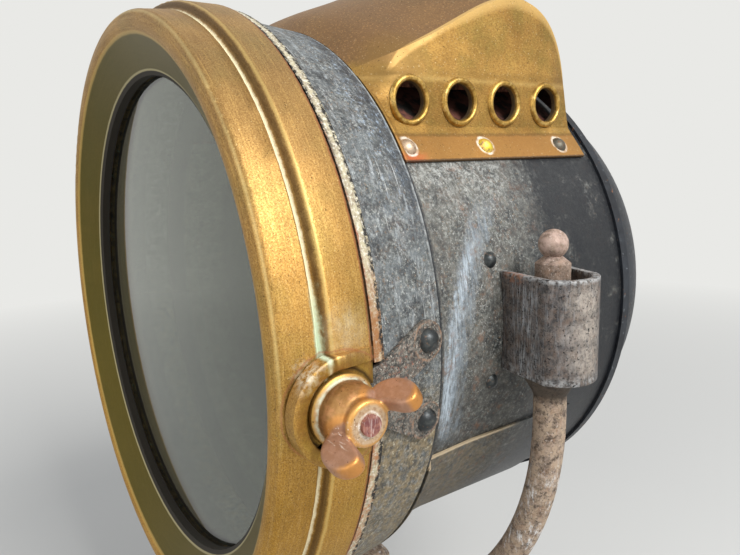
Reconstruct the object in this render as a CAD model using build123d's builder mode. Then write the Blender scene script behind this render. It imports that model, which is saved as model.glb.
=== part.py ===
from build123d import *
import math
import os

# Gas headlamp in its forked bracket, in millimetres.
# The origin is on the axis of the fork's shank, halfway along it. +Z is up,
# the lens looks along -Y, and the hinge of the glass door is at -X.
# A station is a distance behind the front lip, along the lens axis.
# A height is measured from the lens axis.

# Fork
SHANK_R = 9.5
SHANK_LENGTH = 44.0
SHANK_CHAMFER = 1.5
COTTER_R = 2.2
COTTER_FROM_END = 7.0
BOSS_R = 12.0
BOSS_HEIGHT = 29.0
SHOULDER_R = 15.0
SHOULDER_H = 6.0
ROD_R = 6.0
PRONG_OUT = 13.6
BEND_BELOW_LENS = 33.0
COLLAR_R = 8.5
COLLAR_H = 3.4
FORK_STATION = 110.0
FIT_GAP = 0.05

# Sockets that take the fork's prongs, and the ball nuts on them
SOCKET_TOP = 21.6
SOCKET_HEIGHT = 37.0
SOCKET_WALL = 3.0
SOCKET_HALF = 13.0
SOCKET_REACH = 17.6
SOCKET_ROOT = 12.0
SOCKET_RECESS = 8.0
FOOT_LENGTH = 17.0
FOOT_HALF_HEIGHT = 6.0
FOOT_THICK = 2.6
TIP_R = 4.0
TIP_LENGTH = 11.0
FINIAL_COLLAR_R = 6.3
FINIAL_COLLAR_H = 13.0
BALL_R = 5.3
SOCKET_RIVET_R = 3.0
SOCKET_RIVET_HEIGHTS = [26.0, -20.0]
SOCKET_RIVET_AHEAD = 14.4

# Drum, skirt, front rim and back cap
SHEET = 1.2
LAP_GAP = 0.1
DRUM_R = 109.4
DRUM_LENGTH = 114.0
TAPER_LENGTH = 31.4
TAPER_TURN = 0.25
SKIRT_LENGTH = 27.0
SKIRT_STEP = 9.1
SKIRT_LAP = 8.0
NECK_STEP = 3.5
NECK_WALL = 1.6
NECK_REACH = 10.4
NECK_LAP = 6.0
RIM_PROUD = 2.4
RIM_WIDTH = 3.6
CAP_STEP = 9.4
CAP_TURN = 15.0
CAP_DEPTH = 50.0
CAP_LIP = 3.0
CAP_KNEE_DEGREES = 37
BELLY_TOP = -44.0
BELLY_FRONT = 2.0
BELLY_LENGTH = 87.0
BELLY_SHEET = 1.0

# Glass door: the glass sets the radii of the door and of the body's front
GLASS_R = 104.0
GLASS_THICK = 3.5
GLASS_LAP = 6.0
GLASS_CHANNEL = 1.6
CHANNEL_LIP = 0.5
RETAINER_THICK = 2.0
RETAINER_SHORT = 1.0
SIGHT_CONE = 14.6
SIGHT_STATION = 9.3
SIGHT_EDGE = 3.5
FACE_WIDTH = 9.2
FACE_CROWN = 1.2
LIP_ROUND = 2.6
BAND_FLARE = 0.7
BAND_WALL = 1.5
GROOVE_STATION = 13.6
GROOVE_HALF = 1.0
GROOVE_DEPTH = 0.6
HOOP_STEP = 3.5
HOOP_ROUND = 2.6
HOOP_PROUD = 3.5
DOOR_DEPTH = 29.4
DOOR_GAP = 1.0
EDGE_ROUND = 0.7

# Latch at +X
LATCH_FROM_BACK = 11.4
LATCH_HEIGHT = -6.0
POCKET_R = 16.5
POCKET_WALL = 4.0
POCKET_PROUD = 2.3
POCKET_SINK = 3.0
POCKET_SLOT = 5.2
POCKET_FLOOR = 2.2
STUD_R = 3.0
STUD_HEAD_R = 5.0
STUD_HEAD_H = 0.6
STUD_REACH = 15.4
NUT_SEAT_GAP = 0.3
NUT_FLANGE_R = 11.0
NUT_FLANGE_H = 1.8
NUT_HUB_R = 8.7
NUT_HEIGHT = 13.1
NUT_TAPER = 12
WING_SPAN = 16.2
WING_THICK = 5.6
WING_LOW = 6.4
WING_REACH = 22.6
WING_ROUND = 5.5
WING_ANGLE = 33.5
PLATE_THICK = 1.6
PLATE_NOSE_R = 8.0
PLATE_END_R = 6.5
PLATE_RELIEF = 1.0
RIM_RELIEF = 3.0
LATCH_RIVET_R = 4.0
LATCH_RIVET_AHEAD = 7.4
LATCH_RIVET_HEIGHTS = [6.6, -20.4]

# Hinge at -X
HINGE_OUT = 7.7
HINGE_BEHIND = 1.6
HINGE_PIN_R = 2.5
PIN_PROUD = 1.5
KNUCKLE_R = 5.0
KNUCKLE_LENGTH = 12.0
KNUCKLE_GAP = 0.4
LEAF_THICK = 2.0
LEAF_SINK = 3.0
BODY_LEAF_LENGTH = 25.0
DOOR_LEAF_LENGTH = 14.0

# Hood: each row is the share of its length, then the half width and height of its crease,
# the height of its shoulder and the height of its crown, all heights above the drum's radius
HOOD_HALF = 83.0
HOOD_SHOULDER = 40.0
HOOD_SECTIONS = [
    (0.0, 70.5, -14.4, 2.1, 8.8),
    (0.063, 75.5, -11.4, 8.2, 13.6),
    (0.14, 79.6, -8.0, 12.6, 17.8),
    (0.295, 80.5, -0.8, 19.1, 23.6),
    (0.462, 80.5, 8.0, 26.8, 30.4),
    (0.562, 80.5, 12.6, 30.4, 33.2),
    (0.673, 80.5, 15.8, 32.6, 35.0),
    (0.777, 80.5, 14.6, 31.0, 33.4),
    (0.852, 80.5, 11.2, 26.2, 28.6),
    (0.908, 80.5, 5.8, 19.4, 21.8),
    (0.951, 80.5, -2.0, 11.2, 13.8),
    (0.981, 80.5, -12.9, 2.6, 5.8),
    (1.0, 80.5, -29.4, -15.0, -12.0),
]
FOLD_DROP = 3.0
HOOD_GAP = 0.3
HOOD_BACK_GAP = 7.2
FLANGE_WIDTH = 9.3
FLANGE_TURN = 0.6
HOOD_MOUTH_PROUD = 0.8
EYELET_R = 6.9
EYELET_WALL = 0.8
EYELET_RIM_R = 9.3
EYELET_RIM_H = 1.1
EYELET_TAIL = 0.6
EYELET_RISE = 11.7
EYELET_SHIFT = 0.4
EYELET_PITCH = 24.5
EYELET_COUNT = 4
HOOD_RIVET_SHARES = [0.093, 0.471, 0.881]
HOOD_RIVET_RISE = 5.0
HOOD_RIVET_R = 3.4
VENT_INSET = 19.0
VENT_SIDE = 9.0
BAFFLE_INSET = 22.0
BAFFLE_LAP = 4.0
BAFFLE_SIDE = -7.4
BAFFLE_CROWN = 3.6
BAFFLE_SHEET = 1.0

# Mirror, burner and gas cock
MIRROR_R = 78.0
MIRROR_FROM_BACK = 23.0
MIRROR_DEPTH = 16.0
MIRROR_THICK = 4.0
MIRROR_RING_LAP = 3.0
MIRROR_RING_THICK = 2.3
BURNER_BEHIND = 11.6
PIPE_R = 4.0
PIPE_TOP = -24.0
JET_R = 1.6
JET_REACH = 9.0
JET_TOP = -10.0
JET_BEND = 2.5
COCK_R = 8.0
COCK_H = 15.0
COCK_SHOULDER_R = 6.0
COCK_SHOULDER = 1.0
NIPPLE_R = 4.0
NIPPLE_LENGTH = 21.0

# Worked-out radii, from the glass outwards and from the drum
sight_r = GLASS_R - GLASS_LAP
lip_inner_r = sight_r + SIGHT_CONE
band_r = lip_inner_r + FACE_WIDTH
hoop_r = band_r + HOOP_STEP
skirt_front_r = hoop_r - HOOP_PROUD
neck_r = skirt_front_r - NECK_STEP
rim_r = skirt_front_r + RIM_PROUD
drum_clear_r = DRUM_R + LAP_GAP
skirt_back_r = DRUM_R + SKIRT_STEP
cap_r = DRUM_R - CAP_STEP
prong_x = DRUM_R + PRONG_OUT

# Worked-out stations
glass_front = SIGHT_STATION + SIGHT_EDGE
neck_front = DOOR_DEPTH - NECK_REACH
rim_front = DOOR_DEPTH + DOOR_GAP
skirt_front = rim_front + RIM_WIDTH
skirt_back = skirt_front + SKIRT_LENGTH
taper_end = skirt_back + TAPER_LENGTH
drum_back = skirt_back + DRUM_LENGTH
cap_shoulder = drum_back + CAP_TURN
hood_front = skirt_back + HOOD_GAP
hood_length = drum_back - HOOD_BACK_GAP - hood_front
hood_back = hood_front + hood_length
burner_station = taper_end + BURNER_BEHIND
mirror_station = drum_back - MIRROR_FROM_BACK

# Worked-out places
half_shank = SHANK_LENGTH / 2
bend_z = half_shank + BOSS_HEIGHT + prong_x
lens_z = bend_z + BEND_BELOW_LENS
front_y = -FORK_STATION
lens_axis = Axis((0, 0, lens_z), (0, 1, 0))
lathe = Plane(origin=(0, front_y, lens_z), x_dir=(1, 0, 0), z_dir=(0, 0, 1))
socket_top_z = lens_z + SOCKET_TOP
socket_bottom_z = socket_top_z - SOCKET_HEIGHT
socket_seat_z = socket_top_z - SOCKET_RECESS
latch_station = DOOR_DEPTH - LATCH_FROM_BACK
latch_y = front_y + latch_station
latch_z = lens_z + LATCH_HEIGHT
pocket_top_x = hoop_r + POCKET_PROUD
pocket_floor_x = pocket_top_x - POCKET_SINK
nut_seat_x = pocket_floor_x + NUT_SEAT_GAP
hinge_x = -hoop_r - HINGE_OUT
hinge_y = front_y + DOOR_DEPTH + HINGE_BEHIND
flange_meets = math.sqrt(DRUM_R ** 2 - HOOD_HALF ** 2)
hood_foot = flange_meets - FLANGE_WIDTH
flange_top = flange_meets + FLANGE_TURN
eyelet_height = flange_top + EYELET_RISE
eyelet_stations = [hood_front + hood_length / 2 + EYELET_SHIFT + (index - (EYELET_COUNT - 1) / 2) * EYELET_PITCH
                   for index in range(EYELET_COUNT)]

os.makedirs("parts", exist_ok=True)


def save(solid, name):
    solid.label = name
    export_step(solid, f"parts/{name}.step")


def skirt_radius(station):
    """Outside radius of the tapering skirt."""
    share = (station - skirt_front) / (skirt_back - skirt_front)
    return skirt_front_r + share * (skirt_back_r - skirt_front_r)


def drum_points(grow, first, last):
    """Radius and station along the drum's outside, grown by some mm."""
    lap_r = skirt_back_r - SHEET - LAP_GAP
    lap_end = skirt_back + 1.25 * BELLY_FRONT
    middle = (DRUM_R + TAPER_TURN * (lap_r - DRUM_R), skirt_back + TAPER_TURN * TAPER_LENGTH)
    edge = [(lap_r, first), (lap_r, lap_end), middle, (DRUM_R, taper_end), (DRUM_R, last)]
    return [(radius + grow, station) for radius, station in edge]


def cap_point(degrees, inset):
    """A point of the cap's domed end, from its shoulder at 0 to its crown at 90 degrees."""
    turn = math.radians(degrees)
    return ((cap_r - inset) * math.cos(turn), cap_shoulder + (CAP_DEPTH - inset) * math.sin(turn))


def quarter(corner, round_r, side=1):
    """Middle point of a round corner: its sharp corner as radius and station, its rounding, and its side."""
    inset = round_r * (1 - math.sqrt(0.5))
    return corner[0] - inset, corner[1] + side * inset


def cap_middle(radius, rise):
    """Middle point of a round cap's arc, from its rim at the given radius to its crown on the axis."""
    ball_r = (radius ** 2 + rise ** 2) / (2 * rise)
    turn = math.asin(radius / ball_r) / 2
    return ball_r * math.sin(turn), rise - ball_r * (1 - math.cos(turn))


def outward(radius, station, height, side=1):
    """Place on a cylinder round the lens axis, with its Z axis pointing out."""
    x = side * math.sqrt(radius ** 2 - height ** 2)
    return Plane(origin=(x, front_y + station, lens_z + height), x_dir=(0, 1, 0),
                 z_dir=(x, 0, height)).location


def rivet_heads(places, radius, rise, seat):
    """Round heads at the given places, trimmed to the seat: the radius and station of its outline."""
    with BuildPart(mode=Mode.PRIVATE) as head:
        with BuildSketch(Plane.XZ):
            with BuildLine():
                Polyline((0, rise), (0, -rise), (radius, -rise), (radius, 0))
                ThreePointArc((radius, 0), cap_middle(radius, rise), (0, rise))
            make_face()
        revolve(axis=Axis.Z)
    with BuildPart(mode=Mode.PRIVATE) as heads:
        with Locations(*places):
            add(head.part)
        with BuildSketch(lathe):
            with BuildLine():
                Polyline((0, seat[0][1]), *seat, (0, seat[-1][1]), (0, seat[0][1]))
            make_face()
        revolve(axis=lens_axis, mode=Mode.SUBTRACT)
    return heads.part


# Fork: shank, shoulder and boss in one forging with the bent rod and its prongs
with BuildPart() as fork:
    collar_z = socket_bottom_z - COLLAR_H
    with BuildLine() as fork_path:
        Line((-prong_x, 0, collar_z), (-prong_x, 0, bend_z))
        ThreePointArc((-prong_x, 0, bend_z), (0, 0, bend_z - prong_x), (prong_x, 0, bend_z))
        Line((prong_x, 0, bend_z), (prong_x, 0, collar_z))
    with BuildSketch(Plane(origin=(-prong_x, 0, collar_z), z_dir=(0, 0, -1))):
        Circle(ROD_R)
    sweep(path=fork_path.line)
    with BuildSketch(Plane.XZ):
        with BuildLine():
            boss_top = half_shank + BOSS_HEIGHT + ROD_R
            Polyline(
                (0, -half_shank), (SHANK_R - SHANK_CHAMFER, -half_shank),
                (SHANK_R, SHANK_CHAMFER - half_shank), (SHANK_R, half_shank),
                (SHOULDER_R, half_shank), (SHOULDER_R, half_shank + SHOULDER_H),
                (BOSS_R, half_shank + SHOULDER_H + 3), (BOSS_R, boss_top - 3),
                (BOSS_R - 4, boss_top + 2), (0, boss_top + 3), (0, -half_shank),
            )
        make_face()
    revolve(axis=Axis.Z)
    for level, radius, height in (
        (collar_z, COLLAR_R, COLLAR_H),
        (socket_bottom_z, ROD_R, socket_seat_z - socket_bottom_z),
        (socket_seat_z, TIP_R, TIP_LENGTH),
    ):
        with BuildSketch(Plane.XY.offset(level)):
            with Locations((-prong_x, 0), (prong_x, 0)):
                Circle(radius)
        extrude(amount=height)
    with BuildSketch(Plane.YZ.offset(-SHANK_R)):
        with Locations((0, COTTER_FROM_END - half_shank)):
            Circle(COTTER_R)
    extrude(amount=2 * SHANK_R, mode=Mode.SUBTRACT)
save(fork.part, "fork")

# Ball finials: nuts on the prongs' tips, seated in the sockets' recesses
for side, name in ((1, "finial_right"), (-1, "finial_left")):
    with BuildPart() as finial:
        foot = (side * prong_x, 0, socket_seat_z)
        with BuildSketch(Plane(origin=foot, x_dir=(1, 0, 0), z_dir=(0, -1, 0))):
            with BuildLine():
                ball_z = FINIAL_COLLAR_H + BALL_R
                waist_r = 0.6 * BALL_R
                waist_z = ball_z - 0.8 * BALL_R
                Polyline((0, ball_z + BALL_R), (0, 0), (FINIAL_COLLAR_R, 0),
                         (FINIAL_COLLAR_R, FINIAL_COLLAR_H - 1.5), (waist_r, waist_z))
                ThreePointArc((waist_r, waist_z), (BALL_R, ball_z), (0, ball_z + BALL_R))
            make_face()
        revolve(axis=Axis(foot, (0, 0, 1)))
        with BuildSketch(Plane(origin=foot)):
            Circle(TIP_R + FIT_GAP)
        extrude(amount=TIP_LENGTH + FIT_GAP, mode=Mode.SUBTRACT)
    save(finial.part, name)

# Sockets: a bent strap round a filling block, riveted to the drum, with a foot behind
for side, name in ((1, "socket_right"), (-1, "socket_left")):
    end_x = prong_x + SOCKET_REACH
    root_x = DRUM_R - SOCKET_ROOT
    with BuildPart() as socket:
        with BuildSketch(Plane.XY.offset(socket_bottom_z)) as plan:
            with BuildLine():
                Polyline((root_x, SOCKET_HALF + 9), (root_x, -SOCKET_HALF + 4), (end_x - 9, -SOCKET_HALF - 1))
                ThreePointArc((end_x - 9, -SOCKET_HALF - 1), (end_x - 2.5, -SOCKET_HALF + 4), (end_x, -3))
                ThreePointArc((end_x, -3), (end_x - 1.5, 5), (end_x - 7.5, SOCKET_HALF - 1.5))
                Line((end_x - 7.5, SOCKET_HALF - 1.5), (root_x, SOCKET_HALF + 9))
            make_face()
        extrude(amount=SOCKET_HEIGHT)
        with BuildSketch(Plane.XY.offset(socket_seat_z)):
            add(plan.sketch)
            offset(amount=-SOCKET_WALL)
        extrude(amount=SOCKET_RECESS, mode=Mode.SUBTRACT)
        with BuildSketch(Plane.XY.offset(socket_bottom_z)):
            with Locations((prong_x, 0)):
                Circle(ROD_R + FIT_GAP)
        extrude(amount=SOCKET_HEIGHT, mode=Mode.SUBTRACT)
        with Locations((root_x, SOCKET_HALF, lens_z)):
            Box(DRUM_R + FOOT_THICK - root_x, FOOT_LENGTH, 2 * FOOT_HALF_HEIGHT,
                align=(Align.MIN, Align.MIN, Align.CENTER))
        with BuildSketch(lathe):
            with BuildLine():
                skin = drum_points(LAP_GAP, skirt_back, drum_back)
                Polyline((0, skirt_back), *skin, (0, drum_back), (0, skirt_back))
            make_face()
        revolve(axis=lens_axis, mode=Mode.SUBTRACT)
        if side < 0:
            mirror(about=Plane.YZ, mode=Mode.REPLACE)
    save(socket.part, name)

# Rivets beside the sockets
with BuildPart() as socket_rivets:
    places = [outward(drum_clear_r, FORK_STATION - SOCKET_RIVET_AHEAD, height, side)
              for side in (1, -1) for height in SOCKET_RIVET_HEIGHTS]
    seat = drum_points(LAP_GAP, skirt_back, drum_back)
    add(rivet_heads(places, SOCKET_RIVET_R, 0.6 * SOCKET_RIVET_R, seat))
save(socket_rivets.part, "socket_rivets")

# Front rim: the neck that the door closes over, with its seat flange
with BuildPart() as front_rim:
    with BuildSketch(lathe):
        with BuildLine():
            neck_back = skirt_front + NECK_LAP
            tail_r = skirt_radius(neck_back) - SHEET - LAP_GAP
            Polyline(
                (neck_r - NECK_WALL, neck_front), (neck_r, neck_front), (neck_r, rim_front),
                (rim_r, rim_front), (rim_r, skirt_front), (tail_r, skirt_front),
                (tail_r, neck_back), (neck_r - NECK_WALL, neck_back), (neck_r - NECK_WALL, neck_front),
            )
        make_face()
    revolve(axis=lens_axis)
    with Locations((pocket_floor_x, front_y + rim_front, latch_z)):
        Box(2 * (pocket_floor_x - neck_r), 3 * (skirt_front - rim_front), 2 * (PLATE_NOSE_R + RIM_RELIEF),
            mode=Mode.SUBTRACT)
save(front_rim.part, "front_rim")

# Skirt: the black flare between the rim and the drum
with BuildPart() as skirt:
    with BuildSketch(lathe):
        with BuildLine():
            Polyline(
                (skirt_front_r - SHEET, skirt_front), (skirt_front_r, skirt_front),
                (skirt_back_r, skirt_back), (skirt_back_r - SHEET, skirt_back),
                (skirt_front_r - SHEET, skirt_front),
            )
        make_face()
    revolve(axis=lens_axis)
save(skirt.part, "skirt")

# Drum, with its vent under the hood and a hole for the gas pipe
with BuildPart() as drum:
    with BuildSketch(lathe):
        with BuildLine():
            outside = drum_points(0, skirt_back - SKIRT_LAP, drum_back)
            inside = drum_points(-SHEET, skirt_back - SKIRT_LAP, drum_back)
            Polyline(*outside, *reversed(inside), outside[0])
        make_face()
    revolve(axis=lens_axis)
    vent_half = HOOD_HALF - BAFFLE_INSET - VENT_SIDE
    with Locations((0, front_y + hood_front + VENT_INSET, lens_z)):
        Box(2 * vent_half, hood_length - 2 * VENT_INSET, 2 * DRUM_R,
            align=(Align.CENTER, Align.MIN, Align.MIN), mode=Mode.SUBTRACT)
    with BuildSketch(Plane.XY.offset(lens_z - DRUM_R - SHEET)):
        with Locations((0, front_y + burner_station)):
            Circle(PIPE_R + FIT_GAP)
    extrude(amount=4 * SHEET, mode=Mode.SUBTRACT)
save(drum.part, "drum")

# Back cap: a spun dome whose lip laps over the drum
with BuildPart() as back_cap:
    with BuildSketch(lathe):
        with BuildLine():
            lip_r = drum_clear_r + SHEET
            lip_end = drum_back + SHEET
            knee = CAP_KNEE_DEGREES
            knee_r, knee_station = cap_point(knee, 0)
            crown_r, crown_rise = cap_middle(knee_r, cap_point(90, 0)[1] - knee_station)
            inner_r, inner_station = cap_point(knee, SHEET)
            under_r, under_rise = cap_middle(inner_r, cap_point(90, SHEET)[1] - inner_station)
            Polyline((drum_clear_r, drum_back - CAP_LIP), (lip_r, drum_back - CAP_LIP), (lip_r, lip_end))
            Line((lip_r, lip_end), cap_point(0, 0))
            ThreePointArc(cap_point(0, 0), cap_point(knee / 2, 0), cap_point(knee, 0))
            ThreePointArc(cap_point(knee, 0), (crown_r, knee_station + crown_rise), cap_point(90, 0))
            Line(cap_point(90, 0), cap_point(90, SHEET))
            ThreePointArc(cap_point(90, SHEET), (under_r, inner_station + under_rise), cap_point(knee, SHEET))
            ThreePointArc(cap_point(knee, SHEET), cap_point(knee / 2, SHEET), cap_point(0, SHEET))
            Polyline(cap_point(0, SHEET), (drum_clear_r, lip_end), (drum_clear_r, drum_back - CAP_LIP))
        make_face()
    revolve(axis=lens_axis)
save(back_cap.part, "back_cap")

# Belly sheet: the lower sheet lapped round the drum, with a straight edge on each side
with BuildPart() as belly_sheet:
    with BuildSketch(lathe):
        with BuildLine():
            belly_front = skirt_back + BELLY_FRONT
            belly_back = belly_front + BELLY_LENGTH
            outside = drum_points(LAP_GAP + BELLY_SHEET, belly_front, belly_back)
            inside = drum_points(LAP_GAP, belly_front, belly_back)
            Polyline(*outside, *reversed(inside), outside[0])
        make_face()
    revolve(axis=lens_axis)
    with Locations((0, front_y, lens_z + BELLY_TOP)):
        Box(3 * DRUM_R, 2 * belly_back, 3 * DRUM_R,
            align=(Align.CENTER, Align.MIN, Align.MIN), mode=Mode.SUBTRACT)
    with BuildSketch(Plane.XY.offset(lens_z - DRUM_R - 4 * SHEET)):
        with Locations((0, front_y + burner_station)):
            Circle(PIPE_R + FIT_GAP)
    extrude(amount=8 * SHEET, mode=Mode.SUBTRACT)
save(belly_sheet.part, "belly_sheet")

# Glass door: the spun brass bezel with its groove, sight cone, glass channel and latch pocket
with BuildPart() as bezel:
    with BuildSketch(lathe):
        with BuildLine():
            channel_r = GLASS_R + FIT_GAP
            channel_out_r = channel_r + GLASS_CHANNEL
            channel_back = glass_front + GLASS_THICK + RETAINER_THICK + CHANNEL_LIP
            lip_r = band_r - BAND_FLARE
            face_r = lip_r - LIP_ROUND
            groove_r = band_r - GROOVE_DEPTH
            hoop_front = GROOVE_STATION + GROOVE_HALF
            hoop_full = hoop_front + HOOP_ROUND
            edge_r = hoop_r - EDGE_ROUND
            under_r = hoop_r - BAND_WALL
            under_front = FACE_CROWN + LIP_ROUND
            ThreePointArc((lip_inner_r, FACE_CROWN), ((lip_inner_r + face_r) / 2, 0), (face_r, FACE_CROWN / 2))
            ThreePointArc((face_r, FACE_CROWN / 2), quarter((lip_r, FACE_CROWN / 2), LIP_ROUND),
                          (lip_r, FACE_CROWN / 2 + LIP_ROUND))
            Polyline((lip_r, FACE_CROWN / 2 + LIP_ROUND), (band_r, GROOVE_STATION - GROOVE_HALF),
                     (groove_r, GROOVE_STATION), (hoop_r - HOOP_ROUND, hoop_front))
            ThreePointArc((hoop_r - HOOP_ROUND, hoop_front), quarter((hoop_r, hoop_front), HOOP_ROUND),
                          (hoop_r, hoop_full))
            Line((hoop_r, hoop_full), (hoop_r, DOOR_DEPTH - EDGE_ROUND))
            ThreePointArc((hoop_r, DOOR_DEPTH - EDGE_ROUND), quarter((hoop_r, DOOR_DEPTH), EDGE_ROUND, -1),
                          (edge_r, DOOR_DEPTH))
            Polyline((edge_r, DOOR_DEPTH), (under_r, DOOR_DEPTH), (under_r, hoop_full),
                     (groove_r - BAND_WALL, hoop_front), (lip_r - BAND_WALL, under_front),
                     (lip_inner_r + GROOVE_DEPTH, under_front), (channel_out_r, SIGHT_STATION),
                     (channel_out_r, channel_back), (channel_r, channel_back), (channel_r, glass_front),
                     (sight_r, glass_front), (sight_r, SIGHT_STATION), (lip_inner_r, FACE_CROWN))
        make_face()
    revolve(axis=lens_axis)
    floor_plane = Plane(origin=(pocket_floor_x, latch_y, latch_z), x_dir=(0, 1, 0), z_dir=(1, 0, 0))
    pocket_back = DOOR_DEPTH - latch_station
    with BuildSketch(floor_plane.offset(-POCKET_FLOOR)):
        Circle(POCKET_R)
        Rectangle(pocket_back, 2 * POCKET_R, align=(Align.MIN, Align.CENTER))
        with Locations((pocket_back, 0)):
            Rectangle(2 * POCKET_R, 3 * POCKET_R, align=(Align.MIN, Align.CENTER), mode=Mode.SUBTRACT)
    extrude(amount=pocket_top_x - pocket_floor_x + POCKET_FLOOR)
    hollow_r = POCKET_R - POCKET_WALL
    with BuildSketch(floor_plane):
        Circle(hollow_r)
        Rectangle(2 * pocket_back, 2 * hollow_r, align=(Align.MIN, Align.CENTER))
    extrude(amount=pocket_top_x, mode=Mode.SUBTRACT)
    relief_r = PLATE_NOSE_R + PLATE_RELIEF
    relief_x = neck_r - PLATE_RELIEF
    for cut_r, depth in ((relief_r, pocket_floor_x - POCKET_FLOOR - relief_x), (POCKET_SLOT, pocket_top_x)):
        with BuildSketch(floor_plane.offset(relief_x - pocket_floor_x)):
            Circle(cut_r)
            Rectangle(2 * pocket_back, 2 * cut_r, align=(Align.MIN, Align.CENTER))
        extrude(amount=depth, mode=Mode.SUBTRACT)
save(bezel.part, "bezel")

with BuildPart() as glass:
    with BuildSketch(Plane(origin=(0, front_y + glass_front, lens_z), z_dir=(0, 1, 0))):
        Circle(GLASS_R)
    extrude(amount=GLASS_THICK)
save(glass.part, "glass")

with BuildPart() as glass_ring:
    ring_front = front_y + glass_front + GLASS_THICK
    with BuildSketch(Plane(origin=(0, ring_front, lens_z), z_dir=(0, 1, 0))):
        Circle(GLASS_R)
        Circle(sight_r + RETAINER_SHORT, mode=Mode.SUBTRACT)
    extrude(amount=RETAINER_THICK)
save(glass_ring.part, "glass_ring")

# Latch plate: a forked steel plate on the skirt that reaches under the pocket to carry the stud
with BuildPart() as latch_plate:
    plate_r = skirt_radius(skirt_front) + LAP_GAP
    rivet_station = skirt_back - LATCH_RIVET_AHEAD
    with BuildSketch(lathe):
        with BuildLine():
            back_station = rivet_station + 2 * PLATE_END_R
            bend_front = rim_front - RIM_WIDTH
            nose_r = neck_r + LAP_GAP + STUD_HEAD_H
            under = [(nose_r, latch_station - 2 * PLATE_NOSE_R), (nose_r, bend_front),
                     (plate_r, skirt_front), (skirt_radius(back_station) + LAP_GAP, back_station)]
            over = [(radius + PLATE_THICK, station) for radius, station in under]
            Polyline(*under, *reversed(over), under[0])
        make_face()
    revolve(axis=lens_axis)
    with BuildSketch(Plane(origin=(0, latch_y, latch_z), x_dir=(0, 1, 0), z_dir=(1, 0, 0))):
        run = rivet_station - latch_station
        Circle(PLATE_NOSE_R)
        Rectangle(skirt_front - latch_station, 2 * PLATE_NOSE_R, align=(Align.MIN, Align.CENTER))
        neck_end = skirt_front - latch_station
        for height in LATCH_RIVET_HEIGHTS:
            drop = height - LATCH_HEIGHT
            with Locations((run, drop)):
                Circle(PLATE_END_R)
            sign = 1 if drop > 0 else -1
            with BuildLine():
                Polyline((neck_end - 4, 0), (neck_end - 4, sign * PLATE_NOSE_R),
                         (run - 3, drop + sign * PLATE_END_R * 0.9), (run + 3, drop - sign * PLATE_END_R * 0.9),
                         (neck_end + 8, 0), (neck_end - 4, 0))
            make_face()
    extrude(amount=2 * skirt_front_r, mode=Mode.INTERSECT)
    head_top = neck_r + FIT_GAP + STUD_HEAD_H
    for cut_r, depth in ((STUD_R, 2 * skirt_front_r), (STUD_HEAD_R, head_top)):
        with BuildSketch(Plane(origin=(0, latch_y, latch_z), z_dir=(1, 0, 0))):
            Circle(cut_r + FIT_GAP)
        extrude(amount=depth + FIT_GAP, mode=Mode.SUBTRACT)
save(latch_plate.part, "latch_plate")

with BuildPart() as latch_stud:
    for radius, height in ((STUD_HEAD_R, STUD_HEAD_H), (STUD_R, pocket_floor_x + STUD_REACH - neck_r - FIT_GAP)):
        with BuildSketch(Plane(origin=(neck_r + FIT_GAP, latch_y, latch_z), z_dir=(1, 0, 0))):
            Circle(radius)
        extrude(amount=height)
save(latch_stud.part, "latch_stud")

with BuildPart() as latch_rivets:
    plate_top = LAP_GAP + PLATE_THICK + FIT_GAP
    head_r = skirt_radius(rivet_station) + plate_top
    places = [outward(head_r, rivet_station, height) for height in LATCH_RIVET_HEIGHTS]
    seat = [(skirt_radius(station) + plate_top, station) for station in (skirt_front, 2 * skirt_back)]
    add(rivet_heads(places, LATCH_RIVET_R, 0.7 * LATCH_RIVET_R, seat))
save(latch_rivets.part, "latch_rivets")

# Wing nut: a flanged hub with two opposite wings
with BuildPart() as wing_nut:
    nut_plane = Plane(origin=(nut_seat_x, latch_y, latch_z), z_dir=(1, 0, 0))
    with BuildSketch(nut_plane):
        Circle(NUT_FLANGE_R)
    extrude(amount=NUT_FLANGE_H)
    with BuildSketch(nut_plane):
        Circle(NUT_HUB_R)
    extrude(amount=NUT_HEIGHT, taper=NUT_TAPER)
    lean = math.radians(WING_ANGLE)
    wing_plane = Plane(origin=nut_plane.origin, x_dir=(0, math.cos(lean), math.sin(lean)),
                       z_dir=(0, -math.sin(lean), math.cos(lean)))
    with BuildSketch(wing_plane):
        for side in (-1, 1):
            wing_end = side * WING_SPAN
            wing_in = side * (WING_SPAN - WING_ROUND)
            with BuildLine():
                Polyline((0, -WING_LOW), (wing_in, -WING_LOW))
                ThreePointArc((wing_in, -WING_LOW), (wing_end, WING_ROUND - WING_REACH), (wing_in, -WING_REACH))
                Polyline((wing_in, -WING_REACH), (side * NUT_HUB_R / 2, -NUT_HEIGHT), (0, -NUT_HEIGHT),
                         (0, -WING_LOW))
            make_face()
    extrude(amount=WING_THICK / 2, both=True)
    with BuildSketch(nut_plane):
        Circle(STUD_R + FIT_GAP)
    extrude(amount=WING_REACH, mode=Mode.SUBTRACT)
save(wing_nut.part, "wing_nut")

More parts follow.
